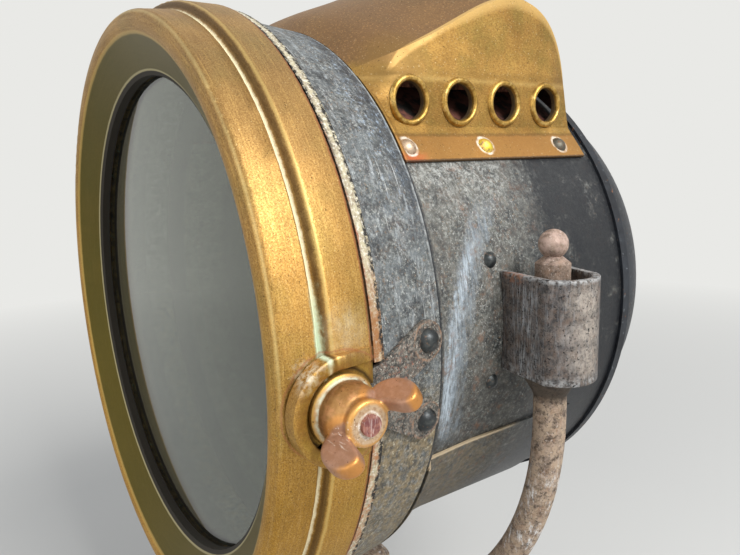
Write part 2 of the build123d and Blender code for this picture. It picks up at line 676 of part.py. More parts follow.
# Hinge: two knuckles on the body's leaf, one on the door's, and the pin through all three
with BuildPart() as body_hinge_leaf:
    step_y = front_y + skirt_front + LAP_GAP
    plate_y = hinge_y + KNUCKLE_R
    leaf_y = hinge_y + BODY_LEAF_LENGTH
    arm_y = plate_y + 2 * LEAF_THICK
    plate_x = -skirt_front_r - LEAF_THICK
    sunk_x = LEAF_SINK - skirt_front_r
    for knuckle in (-1, 1):
        with BuildSketch(Plane.XY.offset(lens_z + (knuckle - 0.5) * KNUCKLE_LENGTH + KNUCKLE_GAP / 2)):
            with Locations((hinge_x, hinge_y)):
                Circle(KNUCKLE_R)
            with BuildLine():
                Polyline((hinge_x, hinge_y), (hinge_x + KNUCKLE_R, step_y), (sunk_x, step_y), (sunk_x, arm_y),
                         (plate_x, arm_y), (hinge_x - LEAF_SINK, hinge_y + LEAF_SINK), (hinge_x, hinge_y))
            make_face()
        extrude(amount=KNUCKLE_LENGTH - KNUCKLE_GAP)
    with BuildSketch(Plane.XY.offset(lens_z - 1.5 * KNUCKLE_LENGTH + KNUCKLE_GAP / 2)):
        with BuildLine():
            Polyline((sunk_x, plate_y), (2 * LEAF_SINK - skirt_front_r, leaf_y),
                     (-skirt_radius(leaf_y - front_y) - LEAF_THICK, leaf_y), (plate_x, plate_y), (sunk_x, plate_y))
        make_face()
    extrude(amount=3 * KNUCKLE_LENGTH - KNUCKLE_GAP)
    with BuildSketch(Plane.XY.offset(lens_z - 2 * KNUCKLE_LENGTH)):
        with Locations((hinge_x, hinge_y)):
            Circle(HINGE_PIN_R + FIT_GAP)
    extrude(amount=4 * KNUCKLE_LENGTH, mode=Mode.SUBTRACT)
    with BuildSketch(lathe):
        with BuildLine():
            far = 2 * skirt_back
            Polyline((0, 0), (skirt_radius(0) + LAP_GAP, 0), (skirt_radius(far) + LAP_GAP, far), (0, far), (0, 0))
        make_face()
    revolve(axis=lens_axis, mode=Mode.SUBTRACT)
save(body_hinge_leaf.part, "body_hinge_leaf")

with BuildPart() as door_hinge_leaf:
    tip_y = hinge_y - DOOR_LEAF_LENGTH
    door_back_y = front_y + DOOR_DEPTH - EDGE_ROUND
    sunk_x = LEAF_SINK - hoop_r
    with BuildSketch(Plane.XY.offset(lens_z - KNUCKLE_LENGTH / 2 + KNUCKLE_GAP / 2)):
        with Locations((hinge_x, hinge_y)):
            Circle(KNUCKLE_R)
        with BuildLine():
            Polyline((hinge_x, hinge_y), (hinge_x - LEAF_SINK, hinge_y - LEAF_SINK), (-hoop_r - LEAF_THICK, tip_y),
                     (sunk_x, tip_y), (sunk_x, door_back_y), (hinge_x + KNUCKLE_R, door_back_y), (hinge_x, hinge_y))
        make_face()
    extrude(amount=KNUCKLE_LENGTH - KNUCKLE_GAP)
    with BuildSketch(Plane.XY.offset(lens_z - KNUCKLE_LENGTH)):
        with Locations((hinge_x, hinge_y)):
            Circle(HINGE_PIN_R + FIT_GAP)
    extrude(amount=2 * KNUCKLE_LENGTH, mode=Mode.SUBTRACT)
    with BuildSketch(lathe):
        with BuildLine():
            door_r = hoop_r + LAP_GAP
            Polyline((0, 0), (door_r, 0), (door_r, DOOR_DEPTH), (0, DOOR_DEPTH), (0, 0))
        make_face()
    revolve(axis=lens_axis, mode=Mode.SUBTRACT)
save(door_hinge_leaf.part, "door_hinge_leaf")

with BuildPart() as hinge_pin:
    pin_half = 1.5 * KNUCKLE_LENGTH + PIN_PROUD
    with BuildSketch(Plane.XY.offset(lens_z - pin_half)):
        with Locations((hinge_x, hinge_y)):
            Circle(HINGE_PIN_R)
    extrude(amount=2 * pin_half)
save(hinge_pin.part, "hinge_pin")

# Hood: a brass chimney with folded sides, an arched top and flanges on the drum
hood_shapes = []
for inset in (0, SHEET):
    with BuildPart() as hood_shape:
        for share, crease_half, crease_rise, shoulder_rise, crown_rise in HOOD_SECTIONS:
            station = hood_front + share * hood_length - (inset if share in (0, 1) else 0)
            side_x = HOOD_HALF - inset
            crease_x = crease_half - inset
            crease = DRUM_R + crease_rise - inset
            shoulder = DRUM_R + shoulder_rise - inset
            crown = DRUM_R + crown_rise - inset
            fold = min(eyelet_height + EYELET_RIM_R, crease - FOLD_DROP)
            slope = 2 * math.atan((crown - shoulder) / HOOD_SHOULDER)
            with BuildSketch(Plane(origin=(0, front_y + station, lens_z), x_dir=(1, 0, 0), z_dir=(0, -1, 0))):
                with BuildLine():
                    Polyline((-crease_x, crease), (-side_x, fold), (-side_x, 0), (side_x, 0), (side_x, fold),
                             (crease_x, crease))
                    ThreePointArc((HOOD_SHOULDER, shoulder), (0, crown), (-HOOD_SHOULDER, shoulder))
                    for side in (-1, 1):
                        TangentArc((side * HOOD_SHOULDER, shoulder), (side * crease_x, crease),
                                   tangent=(side * math.cos(slope), -math.sin(slope)))
                make_face()
        loft(ruled=True)
    hood_shapes.append(hood_shape.part)

with BuildPart() as hood:
    add(hood_shapes[0])
    add(hood_shapes[1], mode=Mode.SUBTRACT)
    with BuildSketch(lathe):
        with BuildLine():
            mouth_r = skirt_back_r + HOOD_MOUTH_PROUD
            skin = drum_points(LAP_GAP, hood_front, hood_back + SHEET)
            Polyline(skin[0], (mouth_r, hood_front), (mouth_r + hood_length, hood_back),
                     (mouth_r + hood_length, hood_back + SHEET), *reversed(skin))
        make_face()
    revolve(axis=lens_axis, mode=Mode.INTERSECT)
    with BuildSketch(Plane(origin=(0, front_y, lens_z + hood_foot))):
        Rectangle(4 * HOOD_HALF, 4 * hood_back)
    extrude(amount=2 * HOOD_HALF, mode=Mode.INTERSECT)
    with BuildPart(mode=Mode.PRIVATE) as flanges:
        with BuildSketch(lathe):
            with BuildLine():
                under = drum_points(LAP_GAP, hood_front, hood_back)
                over = drum_points(LAP_GAP + SHEET, hood_front, hood_back)
                Polyline(*under, *reversed(over), under[0])
            make_face()
        revolve(axis=lens_axis)
        with Locations((0, front_y, lens_z + hood_foot)):
            Box(4 * HOOD_HALF, 4 * hood_back, flange_top - hood_foot,
                align=(Align.CENTER, Align.CENTER, Align.MIN), mode=Mode.INTERSECT)
    add(flanges.part)
    with BuildSketch(Plane(origin=(-2 * HOOD_HALF, front_y, lens_z), x_dir=(0, 1, 0), z_dir=(1, 0, 0))):
        with Locations(*[(station, eyelet_height) for station in eyelet_stations]):
            Circle(EYELET_R + EYELET_WALL + FIT_GAP)
    extrude(amount=4 * HOOD_HALF, mode=Mode.SUBTRACT)
save(hood.part, "hood")

# Eyelets: turned rings set in the hood's side holes
with BuildPart() as hood_eyelets:
    for side in (-1, 1):
        for start_x, length, radius in (
            (HOOD_HALF - SHEET, SHEET + EYELET_TAIL, EYELET_R + EYELET_WALL),
            (HOOD_HALF + FIT_GAP, EYELET_RIM_H, EYELET_RIM_R),
        ):
            with BuildSketch(Plane(origin=(side * start_x, front_y, lens_z), x_dir=(0, 1, 0), z_dir=(1, 0, 0))):
                with Locations(*[(station, eyelet_height) for station in eyelet_stations]):
                    Circle(radius)
                    Circle(EYELET_R, mode=Mode.SUBTRACT)
            extrude(amount=side * length)
save(hood_eyelets.part, "hood_eyelets")

with BuildPart() as hood_rivets:
    seat = drum_points(LAP_GAP + SHEET + FIT_GAP, hood_front, drum_back)
    lap_seat, middle_seat, flat_seat = seat[1], seat[2], seat[3]
    places = []
    for share in HOOD_RIVET_SHARES:
        station = hood_front + share * hood_length
        low, high = (lap_seat, middle_seat) if station < middle_seat[1] else (middle_seat, flat_seat)
        along = min((station - low[1]) / (high[1] - low[1]), 1)
        seat_r = low[0] + along * (high[0] - low[0])
        places += [outward(seat_r, station, hood_foot + HOOD_RIVET_RISE, side) for side in (1, -1)]
    add(rivet_heads(places, HOOD_RIVET_R, 0.6 * HOOD_RIVET_R, seat))
save(hood_rivets.part, "hood_rivets")

# Baffle: a bent sheet over the drum's vent, seen through the eyelets
with BuildPart() as chimney_baffle:
    baffle_y = front_y + hood_front + VENT_INSET - BAFFLE_LAP
    with BuildSketch(Plane(origin=(0, baffle_y, lens_z), x_dir=(1, 0, 0), z_dir=(0, -1, 0))):
        for inset, mode in ((0, Mode.ADD), (BAFFLE_SHEET, Mode.SUBTRACT)):
            half = HOOD_HALF - BAFFLE_INSET - inset
            side_top = DRUM_R + BAFFLE_SIDE
            with BuildLine():
                Polyline((-half, side_top), (-half, 0), (half, 0), (half, side_top))
                ThreePointArc((half, side_top), (0, DRUM_R + BAFFLE_CROWN - inset), (-half, side_top))
            make_face(mode=mode)
    extrude(amount=2 * (VENT_INSET - BAFFLE_LAP) - hood_length)
    with BuildSketch(lathe):
        with BuildLine():
            skin = drum_points(LAP_GAP, hood_front, hood_back)
            Polyline((0, hood_front), *skin, (0, hood_back), (0, hood_front))
        make_face()
    revolve(axis=lens_axis, mode=Mode.SUBTRACT)
save(chimney_baffle.part, "chimney_baffle")

# Mirror: a dished silvered glass behind a flat ring that reaches the drum's wall
with BuildPart() as mirror_glass:
    with BuildSketch(lathe):
        with BuildLine():
            rim, deep = mirror_station, mirror_station + MIRROR_DEPTH
            half_r, half_rise = cap_middle(MIRROR_R, MIRROR_DEPTH)
            ThreePointArc((0, deep), (half_r, rim + half_rise), (MIRROR_R, rim))
            Line((MIRROR_R, rim), (MIRROR_R, rim + MIRROR_THICK))
            ThreePointArc((MIRROR_R, rim + MIRROR_THICK), (half_r, rim + half_rise + MIRROR_THICK),
                          (0, deep + MIRROR_THICK))
            Line((0, deep + MIRROR_THICK), (0, deep))
        make_face()
    revolve(axis=lens_axis)
save(mirror_glass.part, "mirror")

with BuildPart() as mirror_ring:
    with BuildSketch(Plane(origin=(0, front_y + mirror_station - FIT_GAP, lens_z), z_dir=(0, -1, 0))):
        Circle(DRUM_R - SHEET - LAP_GAP)
        Circle(MIRROR_R - MIRROR_RING_LAP, mode=Mode.SUBTRACT)
    extrude(amount=MIRROR_RING_THICK)
save(mirror_ring.part, "mirror_ring")

# Burner: a gas pipe from below with two jets that lean together
with BuildPart() as burner:
    pipe_bottom = -(drum_clear_r + BELLY_SHEET + 2 * LAP_GAP)
    with BuildSketch(Plane(origin=(0, front_y + burner_station, lens_z + pipe_bottom))):
        Circle(PIPE_R)
    extrude(amount=PIPE_TOP - pipe_bottom)
    for side in (-1, 1):
        with BuildLine() as jet_path:
            start = Vector(0, front_y + burner_station, lens_z + PIPE_TOP - 2)
            elbow = Vector(side * JET_REACH, front_y + burner_station, lens_z + (PIPE_TOP + JET_TOP) / 2)
            tip = Vector(side * JET_REACH * 0.6, front_y + burner_station, lens_z + JET_TOP)
            FilletPolyline(start, elbow, tip, radius=JET_BEND)
        with BuildSketch(Plane(origin=start, z_dir=elbow - start)):
            Circle(JET_R)
        sweep(path=jet_path.line)
save(burner.part, "burner")

# Gas cock under the drum, with a nipple for the hose that points back
with BuildPart() as gas_cock:
    cock_top = lens_z + pipe_bottom - FIT_GAP
    cock_y = front_y + burner_station
    with BuildSketch(Plane(origin=(0, cock_y, cock_top - COCK_H))):
        Circle(COCK_R)
    extrude(amount=COCK_H)
    nipple_root = COCK_R + COCK_SHOULDER
    for radius, length in ((COCK_SHOULDER_R, nipple_root), (NIPPLE_R, nipple_root + NIPPLE_LENGTH)):
        with BuildSketch(Plane(origin=(0, cock_y, cock_top - COCK_H / 2), z_dir=(0, 1, 0))):
            Circle(radius)
        extrude(amount=length)
save(gas_cock.part, "gas_cock")
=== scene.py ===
import math

import bpy
from mathutils import Matrix, Vector


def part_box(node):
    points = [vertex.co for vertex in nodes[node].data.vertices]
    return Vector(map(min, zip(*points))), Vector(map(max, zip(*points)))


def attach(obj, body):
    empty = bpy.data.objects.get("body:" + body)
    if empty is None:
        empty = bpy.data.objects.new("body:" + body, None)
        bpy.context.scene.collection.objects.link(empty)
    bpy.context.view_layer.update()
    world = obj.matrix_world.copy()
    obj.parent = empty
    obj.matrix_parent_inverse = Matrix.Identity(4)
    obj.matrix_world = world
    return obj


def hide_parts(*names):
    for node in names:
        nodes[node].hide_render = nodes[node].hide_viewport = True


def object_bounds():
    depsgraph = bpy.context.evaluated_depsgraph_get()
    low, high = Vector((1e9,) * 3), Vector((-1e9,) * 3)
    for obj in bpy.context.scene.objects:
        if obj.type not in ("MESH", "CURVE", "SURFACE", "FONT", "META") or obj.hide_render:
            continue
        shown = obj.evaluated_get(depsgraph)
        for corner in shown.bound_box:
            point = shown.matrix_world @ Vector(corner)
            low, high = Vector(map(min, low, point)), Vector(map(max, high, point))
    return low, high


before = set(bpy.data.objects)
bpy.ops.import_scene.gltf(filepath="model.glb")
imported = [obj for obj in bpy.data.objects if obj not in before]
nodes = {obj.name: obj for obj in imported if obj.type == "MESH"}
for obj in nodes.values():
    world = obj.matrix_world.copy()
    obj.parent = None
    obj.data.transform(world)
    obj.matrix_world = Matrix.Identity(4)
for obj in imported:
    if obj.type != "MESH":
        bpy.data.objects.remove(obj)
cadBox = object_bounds()

# Places that the shapes and finishes follow, read from the frame, in metres
mm = 0.001
glassLow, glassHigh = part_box("glass")
studLow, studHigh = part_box("latch_stud")
lensZ = (glassLow.z + glassHigh.z) / 2
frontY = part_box("bezel")[0].y
latchY = (studLow.y + studHigh.y) / 2
latchZ = (studLow.z + studHigh.z) / 2
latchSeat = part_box("wing_nut")[0].x
latchSpot = (latchSeat / mm, (latchY - frontY) / mm, (latchZ - lensZ) / mm)
print("frame loaded:", len(nodes), "nodes, latch at", [round(value, 1) for value in latchSpot])

# Mesh work for all pieces: points nearer than mergeGap are one, a worn edge is bevelled in a few steps,
# and a turned part has so many sides
mergeGap = 0.01 * mm
wornSteps = 3
turnSides = 48


def settle(piece, body, *stoodFor):
    # the piece rides on its body and stands for its CAD nodes
    if stoodFor:
        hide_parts(*stoodFor)
    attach(piece, body)
    piece.select_set(False)
    return piece


def pickOnly(*pieces):
    bpy.ops.object.select_all(action="DESELECT")
    for piece in pieces:
        piece.select_set(True)
    bpy.context.view_layer.objects.active = pieces[0]


def applyModifier(piece, kind, **settings):
    modifier = piece.modifiers.new("step", kind)
    for name, value in settings.items():
        setattr(modifier, name, value)
    bpy.context.view_layer.objects.active = piece
    bpy.ops.object.modifier_apply(modifier=modifier.name)


def wearEdges(piece, width, angle):
    # edges sharper than the angle are worn round
    applyModifier(piece, "BEVEL", width=width * mm, segments=wornSteps, limit_method="ANGLE",
                  angle_limit=math.radians(angle), use_clamp_overlap=True)


def mergeMesh(piece, outwards=True):
    # doubles merged, and faces turned outwards
    pickOnly(piece)
    bpy.ops.object.mode_set(mode="EDIT")
    bpy.ops.mesh.select_all(action="SELECT")
    bpy.ops.mesh.remove_doubles(threshold=mergeGap)
    if outwards:
        bpy.ops.mesh.normals_make_consistent(inside=False)
    bpy.ops.object.mode_set(mode="OBJECT")


def finishShape(piece, smoothAngle=40):
    mergeMesh(piece)
    bpy.ops.object.shade_smooth_by_angle(angle=math.radians(smoothAngle))


def softCopy(node, name, width, angle, body="lamp"):
    # a copy of a node with its loose triangles merged and its sharp edges worn round
    piece = bpy.data.objects.new(name, nodes[node].data.copy())
    bpy.context.scene.collection.objects.link(piece)
    pickOnly(piece)
    bpy.ops.mesh.customdata_custom_splitnormals_clear()
    mergeMesh(piece, outwards=False)
    if width:
        wearEdges(piece, width, angle)
    bpy.ops.object.shade_smooth_by_angle(angle=math.radians(angle))
    return settle(piece, body, node)


def turnPart(name, centre, profile, solid=False, upright=False):
    # a part turned about an axis along X, or upright: a circle extruded step by step
    # along its profile of radius and reach
    way = Vector((0, 0, mm)) if upright else Vector((mm, 0, 0))
    bpy.ops.object.select_all(action="DESELECT")
    bpy.ops.mesh.primitive_circle_add(vertices=turnSides, radius=profile[0][0] * mm,
                                      fill_type="NGON" if solid else "NOTHING",
                                      location=Vector(centre) + way * profile[0][1],
                                      rotation=(0, 0 if upright else math.radians(90), 0))
    piece = bpy.context.object
    piece.name = name
    pickOnly(piece)
    bpy.ops.object.transform_apply(location=True, rotation=True, scale=True)
    bpy.ops.object.mode_set(mode="EDIT")
    bpy.ops.mesh.select_all(action="SELECT")
    extrude = bpy.ops.mesh.extrude_region_move if solid else bpy.ops.mesh.extrude_edges_move
    for (lastRadius, lastReach), (radius, reach) in zip(profile, profile[1:]):
        extrude(TRANSFORM_OT_translate={"value": way * (reach - lastReach)})
        share = radius / lastRadius
        bpy.ops.transform.resize(value=(share, share, 1) if upright else (1, share, share),
                                 center_override=Vector(centre) + way * reach)
    bpy.ops.object.mode_set(mode="OBJECT")
    return piece


def smoothKeys(keys, share):
    # a smooth run through the rows, share 0 to 1 from the first to the last
    index = min(int(share * (len(keys) - 1)), len(keys) - 2)
    step = share * (len(keys) - 1) - index
    a, b, c, d = (keys[min(max(index + shift, 0), len(keys) - 1)] for shift in (-1, 0, 1, 2))
    return [0.5 * (2 * q + (r - p) * step + (2 * p - 5 * q + 4 * r - s) * step ** 2
                   + (3 * q - p - 3 * r + s) * step ** 3) for p, q, r, s in zip(a, b, c, d)]


def smoothLoop(points, count):
    # a closed smooth outline through a few points
    keys = points[-1:] + points + points[:2]
    return [smoothKeys(keys, (1 + len(points) * index / count) / (len(keys) - 1)) for index in range(count)]


# Wing nut: cast, a domed hub on a flange with a raised end, and two ears that stand up past it, worn round.
# The hub's profile is radius and reach, an ear's outline is span and reach, and a remesh as fine as the
# grain fuses them
nutLook = {"hub": [(10.3, 0.0), (10.9, 0.5), (10.9, 1.5), (10.4, 2.0), (9.6, 2.2), (9.2, 3.0), (9.3, 4.6),
                   (9.0, 6.6), (8.3, 8.6), (7.4, 10.0), (6.7, 10.6), (6.7, 13.0), (6.3, 13.6), (5.6, 13.8)],
           "ear": [(5.0, 7.0), (10.2, 6.2), (14.0, 8.8), (15.8, 13.2), (15.6, 18.2), (13.2, 21.6),
                   (10.0, 21.9), (7.9, 19.0), (6.9, 14.6), (5.4, 11.0)],
           "sides": 36, "blank": 10.0, "thick": 4.8, "round": 1.1, "sharp": 50, "angle": 33.5, "grain": 0.32,
           "ease": 0.5, "soften": 4, "earMiddle": (9.6, 14.2), "earEdge": 9.6, "earFace": 7.3}


def buildNut():
    nut = turnPart("wingNut", (latchSeat, latchY, latchZ), nutLook["hub"], solid=True)
    finishShape(nut)
    lean = math.radians(nutLook["angle"])
    along = Vector((0, math.cos(lean), math.sin(lean)))
    through = Vector((0, -math.sin(lean), math.cos(lean))) * (nutLook["thick"] * mm)
    parts = [nut]
    for side in (-1, 1):
        bpy.ops.object.select_all(action="DESELECT")
        bpy.ops.mesh.primitive_circle_add(vertices=nutLook["sides"], radius=nutLook["blank"] * mm,
                                          fill_type="NGON")
        ear = bpy.context.object
        for vert, (span, reach) in zip(ear.data.vertices, smoothLoop(nutLook["ear"], nutLook["sides"])):
            root = Vector((latchSeat + reach * mm, latchY, latchZ))
            vert.co = root + along * (side * span * mm) - through / 2
        bpy.ops.object.mode_set(mode="EDIT")
        bpy.ops.mesh.select_all(action="SELECT")
        bpy.ops.mesh.extrude_region_move(TRANSFORM_OT_translate={"value": through})
        bpy.ops.object.mode_set(mode="OBJECT")
        finishShape(ear)
        wearEdges(ear, nutLook["round"], nutLook["sharp"])
        parts.append(ear)
    pickOnly(*parts)
    bpy.ops.object.join()
    applyModifier(nut, "REMESH", mode="VOXEL", voxel_size=nutLook["grain"] * mm)
    applyModifier(nut, "SMOOTH", factor=nutLook["ease"], iterations=nutLook["soften"])
    bpy.ops.object.shade_smooth()
    return settle(nut, "lamp", "wing_nut")


# Eyelets: rims rolled over the holes of the hood's sides
eyeletLook = {"stations": [78.3, 102.7, 127.0, 151.8], "height": 83.6, "side": 83.0, "hole": 6.9,
              "smooth": 60,
              "profile": [(6.8, -2.2), (6.8, 0.2), (7.0, 0.85), (7.45, 1.25), (8.0, 1.4), (8.55, 1.2),
                          (9.0, 0.7), (9.3, 0.0), (8.4, -0.3), (7.6, -2.2), (6.8, -2.2)]}


def buildEyelets():
    rims = []
    for side in (1, -1):
        profile = [(radius, side * reach) for radius, reach in eyeletLook["profile"]]
        for station in eyeletLook["stations"]:
            place = (side * eyeletLook["side"] * mm, frontY + station * mm, lensZ + eyeletLook["height"] * mm)
            rims.append(turnPart("rolledEyelets", place, profile))
    pickOnly(*rims)
    bpy.ops.object.join()
    finishShape(rims[0], eyeletLook["smooth"])
    return settle(rims[0], "lamp", "hood_eyelets")


# Hood: one sheet from flange to flange. Each row of keys is its station, the half width and height of its
# crease, the height of its shoulder and the height of its crown, in millimetres from the lens axis. The sheet
# laps the drum, bends up into a flat side, folds in under the crease and turns over it to a level crown
hoodShape = {"half": 83.0, "fold": 92.0, "foot": 62.0, "shoulder": 40.0, "sheet": 1.0, "lap": 0.4,
             "bendBelow": 1.4, "bendAbove": 0.9, "creaseClear": 2.5, "lowest": 1.0, "pull": 0.3,
             "skirtRear": 118.4, "blend": 12.0, "draw": 2.2,
             "drum": [(61.0, 117.2), (62.9, 117.2), (68.9, 111.4), (92.4, 109.4), (180.0, 109.4)],
             "turn": [(0.05, 0.06), (0.12, 0.20), (0.22, 0.36), (0.45, 0.58), (0.7, 0.79), (0.93, 0.97),
                      (1, 1)],
             "rows": 64, "footSteps": 4, "sideSteps": 7, "topSteps": 12, "blank": 100.0, "smooth": 24,
             "drillSides": 40, "drillRoom": 0.5,
             "keys": [(61.8, 70.5, 95.0, 111.5, 118.2), (68.0, 75.5, 98.0, 117.6, 123.0),
                      (76.2, 79.6, 101.4, 122.0, 127.0), (92.7, 80.5, 108.6, 128.5, 133.0),
                      (110.5, 80.5, 117.4, 136.2, 139.8), (121.2, 80.5, 122.0, 139.8, 142.4),
                      (133.0, 80.5, 125.2, 142.0, 144.3), (144.0, 80.5, 124.0, 140.4, 142.8),
                      (152.0, 80.5, 120.6, 135.6, 138.0), (158.0, 80.5, 115.2, 128.8, 131.2),
                      (162.6, 80.5, 107.4, 120.6, 123.2), (165.8, 80.5, 96.5, 112.0, 115.2),
                      (167.2, 80.5, 84.0, 105.8, 111.6), (167.6, 80.5, 77.0, 103.6, 110.8)]}


def drumRadius(station):
    line = hoodShape["drum"]
    for (first, firstRadius), (last, lastRadius) in zip(line, line[1:]):
        if station <= last:
            return firstRadius + (lastRadius - firstRadius) * (station - first) / (last - first)
    return line[-1][1]


def eased(share):
    # 0 to 1 with a level start and end
    share = min(max(share, 0), 1)
    return share * share * (3 - 2 * share)


def hoodSection(share):
    # half a section of the hood, from its foot on the drum up to its crown
    look = hoodShape
    station, creaseX, crease, shoulder, crown = smoothKeys(look["keys"], share)
    lap = drumRadius(station) + look["sheet"] + look["lap"]
    meet = math.sqrt(lap ** 2 - look["half"] ** 2)
    points = []
    for step in range(look["footSteps"] + 1):
        height = look["foot"] + (meet - look["bendBelow"] - look["foot"]) * step / look["footSteps"]
        points.append((math.sqrt(lap ** 2 - height ** 2), height))
    near = eased((station - look["keys"][0][0]) / look["blend"])
    rear = eased((station - look["keys"][-1][0]) / look["blend"] + 1)
    fold = min(look["fold"], crease - look["creaseClear"])
    low = min(meet + look["bendAbove"], fold - look["lowest"])
    for step in range(look["sideSteps"] + 1):
        up = step / look["sideSteps"]
        height = low + (fold - low) * step / look["sideSteps"]
        side = look["half"] - look["pull"] * (1 - up) ** 3 - look["draw"] * rear * up ** 1.5
        ring = math.sqrt(max(look["skirtRear"] ** 2 - height ** 2, 1))
        points.append((min(side, ring + (side - ring) * near), height))
    foldX = points[-1][0]
    for step, inward in look["turn"]:
        points.append((foldX + (creaseX - foldX) * inward, fold + (crease - fold) * step))
    middle = look["shoulder"] / creaseX
    power = math.log((crown - shoulder) / (crown - crease)) / math.log(middle)
    for step in range(1, look["topSteps"] + 1):
        # from the crease through the shoulder to a level crown
        reach = 1 - step / look["topSteps"]
        points.append((creaseX * reach, crown - (crown - crease) * reach ** power))
    return station, points


def buildHood():
    look = hoodShape
    columns = 2 * len(hoodSection(0)[1]) - 1
    bpy.ops.object.select_all(action="DESELECT")
    bpy.ops.mesh.primitive_grid_add(x_subdivisions=columns - 1, y_subdivisions=look["rows"] - 1,
                                    size=look["blank"] * mm)
    hood = bpy.context.object
    hood.name = "hoodSkin"
    for row in range(look["rows"]):
        station, half = hoodSection(row / (look["rows"] - 1))
        section = half + [(-x, z) for x, z in reversed(half[:-1])]
        for column, (x, z) in enumerate(section):
            hood.data.vertices[row * columns + column].co = (x * mm, frontY + station * mm, lensZ + z * mm)
    pickOnly(hood)
    bpy.ops.object.mode_set(mode="EDIT")
    bpy.ops.mesh.select_all(action="SELECT")
    bpy.ops.mesh.normals_make_consistent(inside=False)
    bpy.ops.object.mode_set(mode="OBJECT")
    hood.data.materials.append(None)  # a slot for the outside
    hood.data.materials.append(None)  # and one for the sooty inside
    applyModifier(hood, "SOLIDIFY", thickness=look["sheet"] * mm, offset=-1, material_offset=1)
    drills = []
    for station in eyeletLook["stations"]:
        place = (0, frontY + station * mm, lensZ + eyeletLook["height"] * mm)
        bpy.ops.mesh.primitive_cylinder_add(vertices=look["drillSides"], depth=4 * look["half"] * mm,
                                            radius=(eyeletLook["hole"] + look["drillRoom"]) * mm,
                                            location=place, rotation=(0, math.radians(90), 0))
        drills.append(bpy.context.object)
    pickOnly(*drills)
    bpy.ops.object.join()
    pickOnly(hood)
    applyModifier(hood, "BOOLEAN", operation="DIFFERENCE", object=drills[0], solver="EXACT")
    bpy.data.objects.remove(drills[0])
    bpy.ops.object.shade_smooth_by_angle(angle=math.radians(look["smooth"]))
    return settle(hood, "lamp", "hood")


# Bezel: the pocket's arms run out into the band's rear edge, and its wall is worn round. Radii are from
# the lens axis, and a point further out than the band is drawn in on its way to the rear edge
pocketLook = {"proud": 125.6, "rest": 125.4, "from": 20.0, "to": 29.4, "reach": 21.0,
              "worn": 0.6, "wornSteps": 2, "smooth": 34}


def buildBezel():
    look = pocketLook
    bezel = softCopy("bezel", "brassBezel", 0, look["smooth"], body="door")
    for vert in bezel.data.vertices:
        x, station, z = vert.co.x / mm, (vert.co.y - frontY) / mm, (vert.co.z - lensZ) / mm
        out = math.hypot(x, z)
        if x > 0 and out > look["proud"] and station > look["from"]:
            share = (station - look["from"]) / (look["to"] - look["from"])
            target = out + (look["rest"] - out) * min(share, 1)
            vert.co.x *= target / out
            vert.co.z = lensZ + (vert.co.z - lensZ) * target / out
    spot = Vector((latchSeat, latchY, latchZ))
    pocket = bezel.vertex_groups.new(name="pocket")
    pocket.add([vert.index for vert in bezel.data.vertices if (vert.co - spot).length < look["reach"] * mm
                and math.hypot(vert.co.x, vert.co.z - lensZ) > look["proud"] * mm], 1.0, "REPLACE")
    pickOnly(bezel)
    applyModifier(bezel, "BEVEL", width=look["worn"] * mm, segments=look["wornSteps"], limit_method="VGROUP",
                  vertex_group="pocket", use_clamp_overlap=True)
    bezel.select_set(False)
    return bezel


# Collars: a forged cone under each socket, where the fork's rod meets it
collarLook = {"profile": [(6.5, 0.0), (7.0, -0.1), (9.9, -0.2), (10.3, -0.7), (10.1, -1.5), (8.6, -3.6),
                          (7.4, -5.6), (6.6, -7.2), (6.4, -7.8), (6.2, -7.8)], "smooth": 45}


def buildCollars():
    collars = []
    for side in ("right", "left"):
        low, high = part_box("finial_" + side)
        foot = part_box("socket_" + side)[0].z
        collars.append(turnPart("forkCollars", ((low.x + high.x) / 2, (low.y + high.y) / 2, foot),
                                collarLook["profile"], upright=True))
    pickOnly(*collars)
    bpy.ops.object.join()
    finishShape(collars[0], collarLook["smooth"])
    return settle(collars[0], "lamp")


# Edges worn round on copies of the plate and the sockets: the width of the wear, and the angle of an edge
edgeWear = {"plate": 0.45, "socket": 0.7, "angle": 40}
wingNut = buildNut()
eyelets = buildEyelets()
hood = buildHood()
bezel = buildBezel()
latchPlate = softCopy("latch_plate", "latchPlateWorn", edgeWear["plate"], edgeWear["angle"])
sockets = [softCopy("socket_" + side, "socketWorn" + side.capitalize(), edgeWear["socket"], edgeWear["angle"])
           for side in ("right", "left")]
collars = buildCollars()
pieces = [wingNut, eyelets, hood, bezel, latchPlate, collars, *sockets]
print("pieces built:", [piece.name for piece in pieces])


def linear(hexColour):
    # sRGB hex to the linear values that the shaders work in
    parts = [int(hexColour[i:i + 2], 16) / 255 for i in (0, 2, 4)]
    return tuple(c / 12.92 if c <= 0.04045 else ((c + 0.055) / 1.055) ** 2.4 for c in parts) + (1.0,)


def addNode(mat, kind, inputs=None, out=0, **settings):
    # one shader node, with its settings and links, and the output that is wanted, or None for all of them
    node = mat.node_tree.nodes.new("ShaderNode" + kind)
    for name, value in settings.items():
        setattr(node, name, value)
    for name, value in (inputs or {}).items():
        if isinstance(value, bpy.types.NodeSocket):
            mat.node_tree.links.new(value, node.inputs[name])
        else:
            node.inputs[name].default_value = value
    return node.outputs if out is None else node.outputs[out]


# Where wear lies is measured in millimetres. An angle round the lens axis counts at the bezel's radius. A run
# of old paint bows down the side: its station grows with the square of the height above its foot. Ragged
# edges follow one noise, and a layer's seed moves its pattern on by seedShift
bandRadius = 120.0
runLook = {"foot": -17.0, "bow": 0.0066, "station": 71.4}
raggedLook = {"Scale": 0.35, "Detail": 5.0, "Roughness": 0.7}
seedShift = 7.3


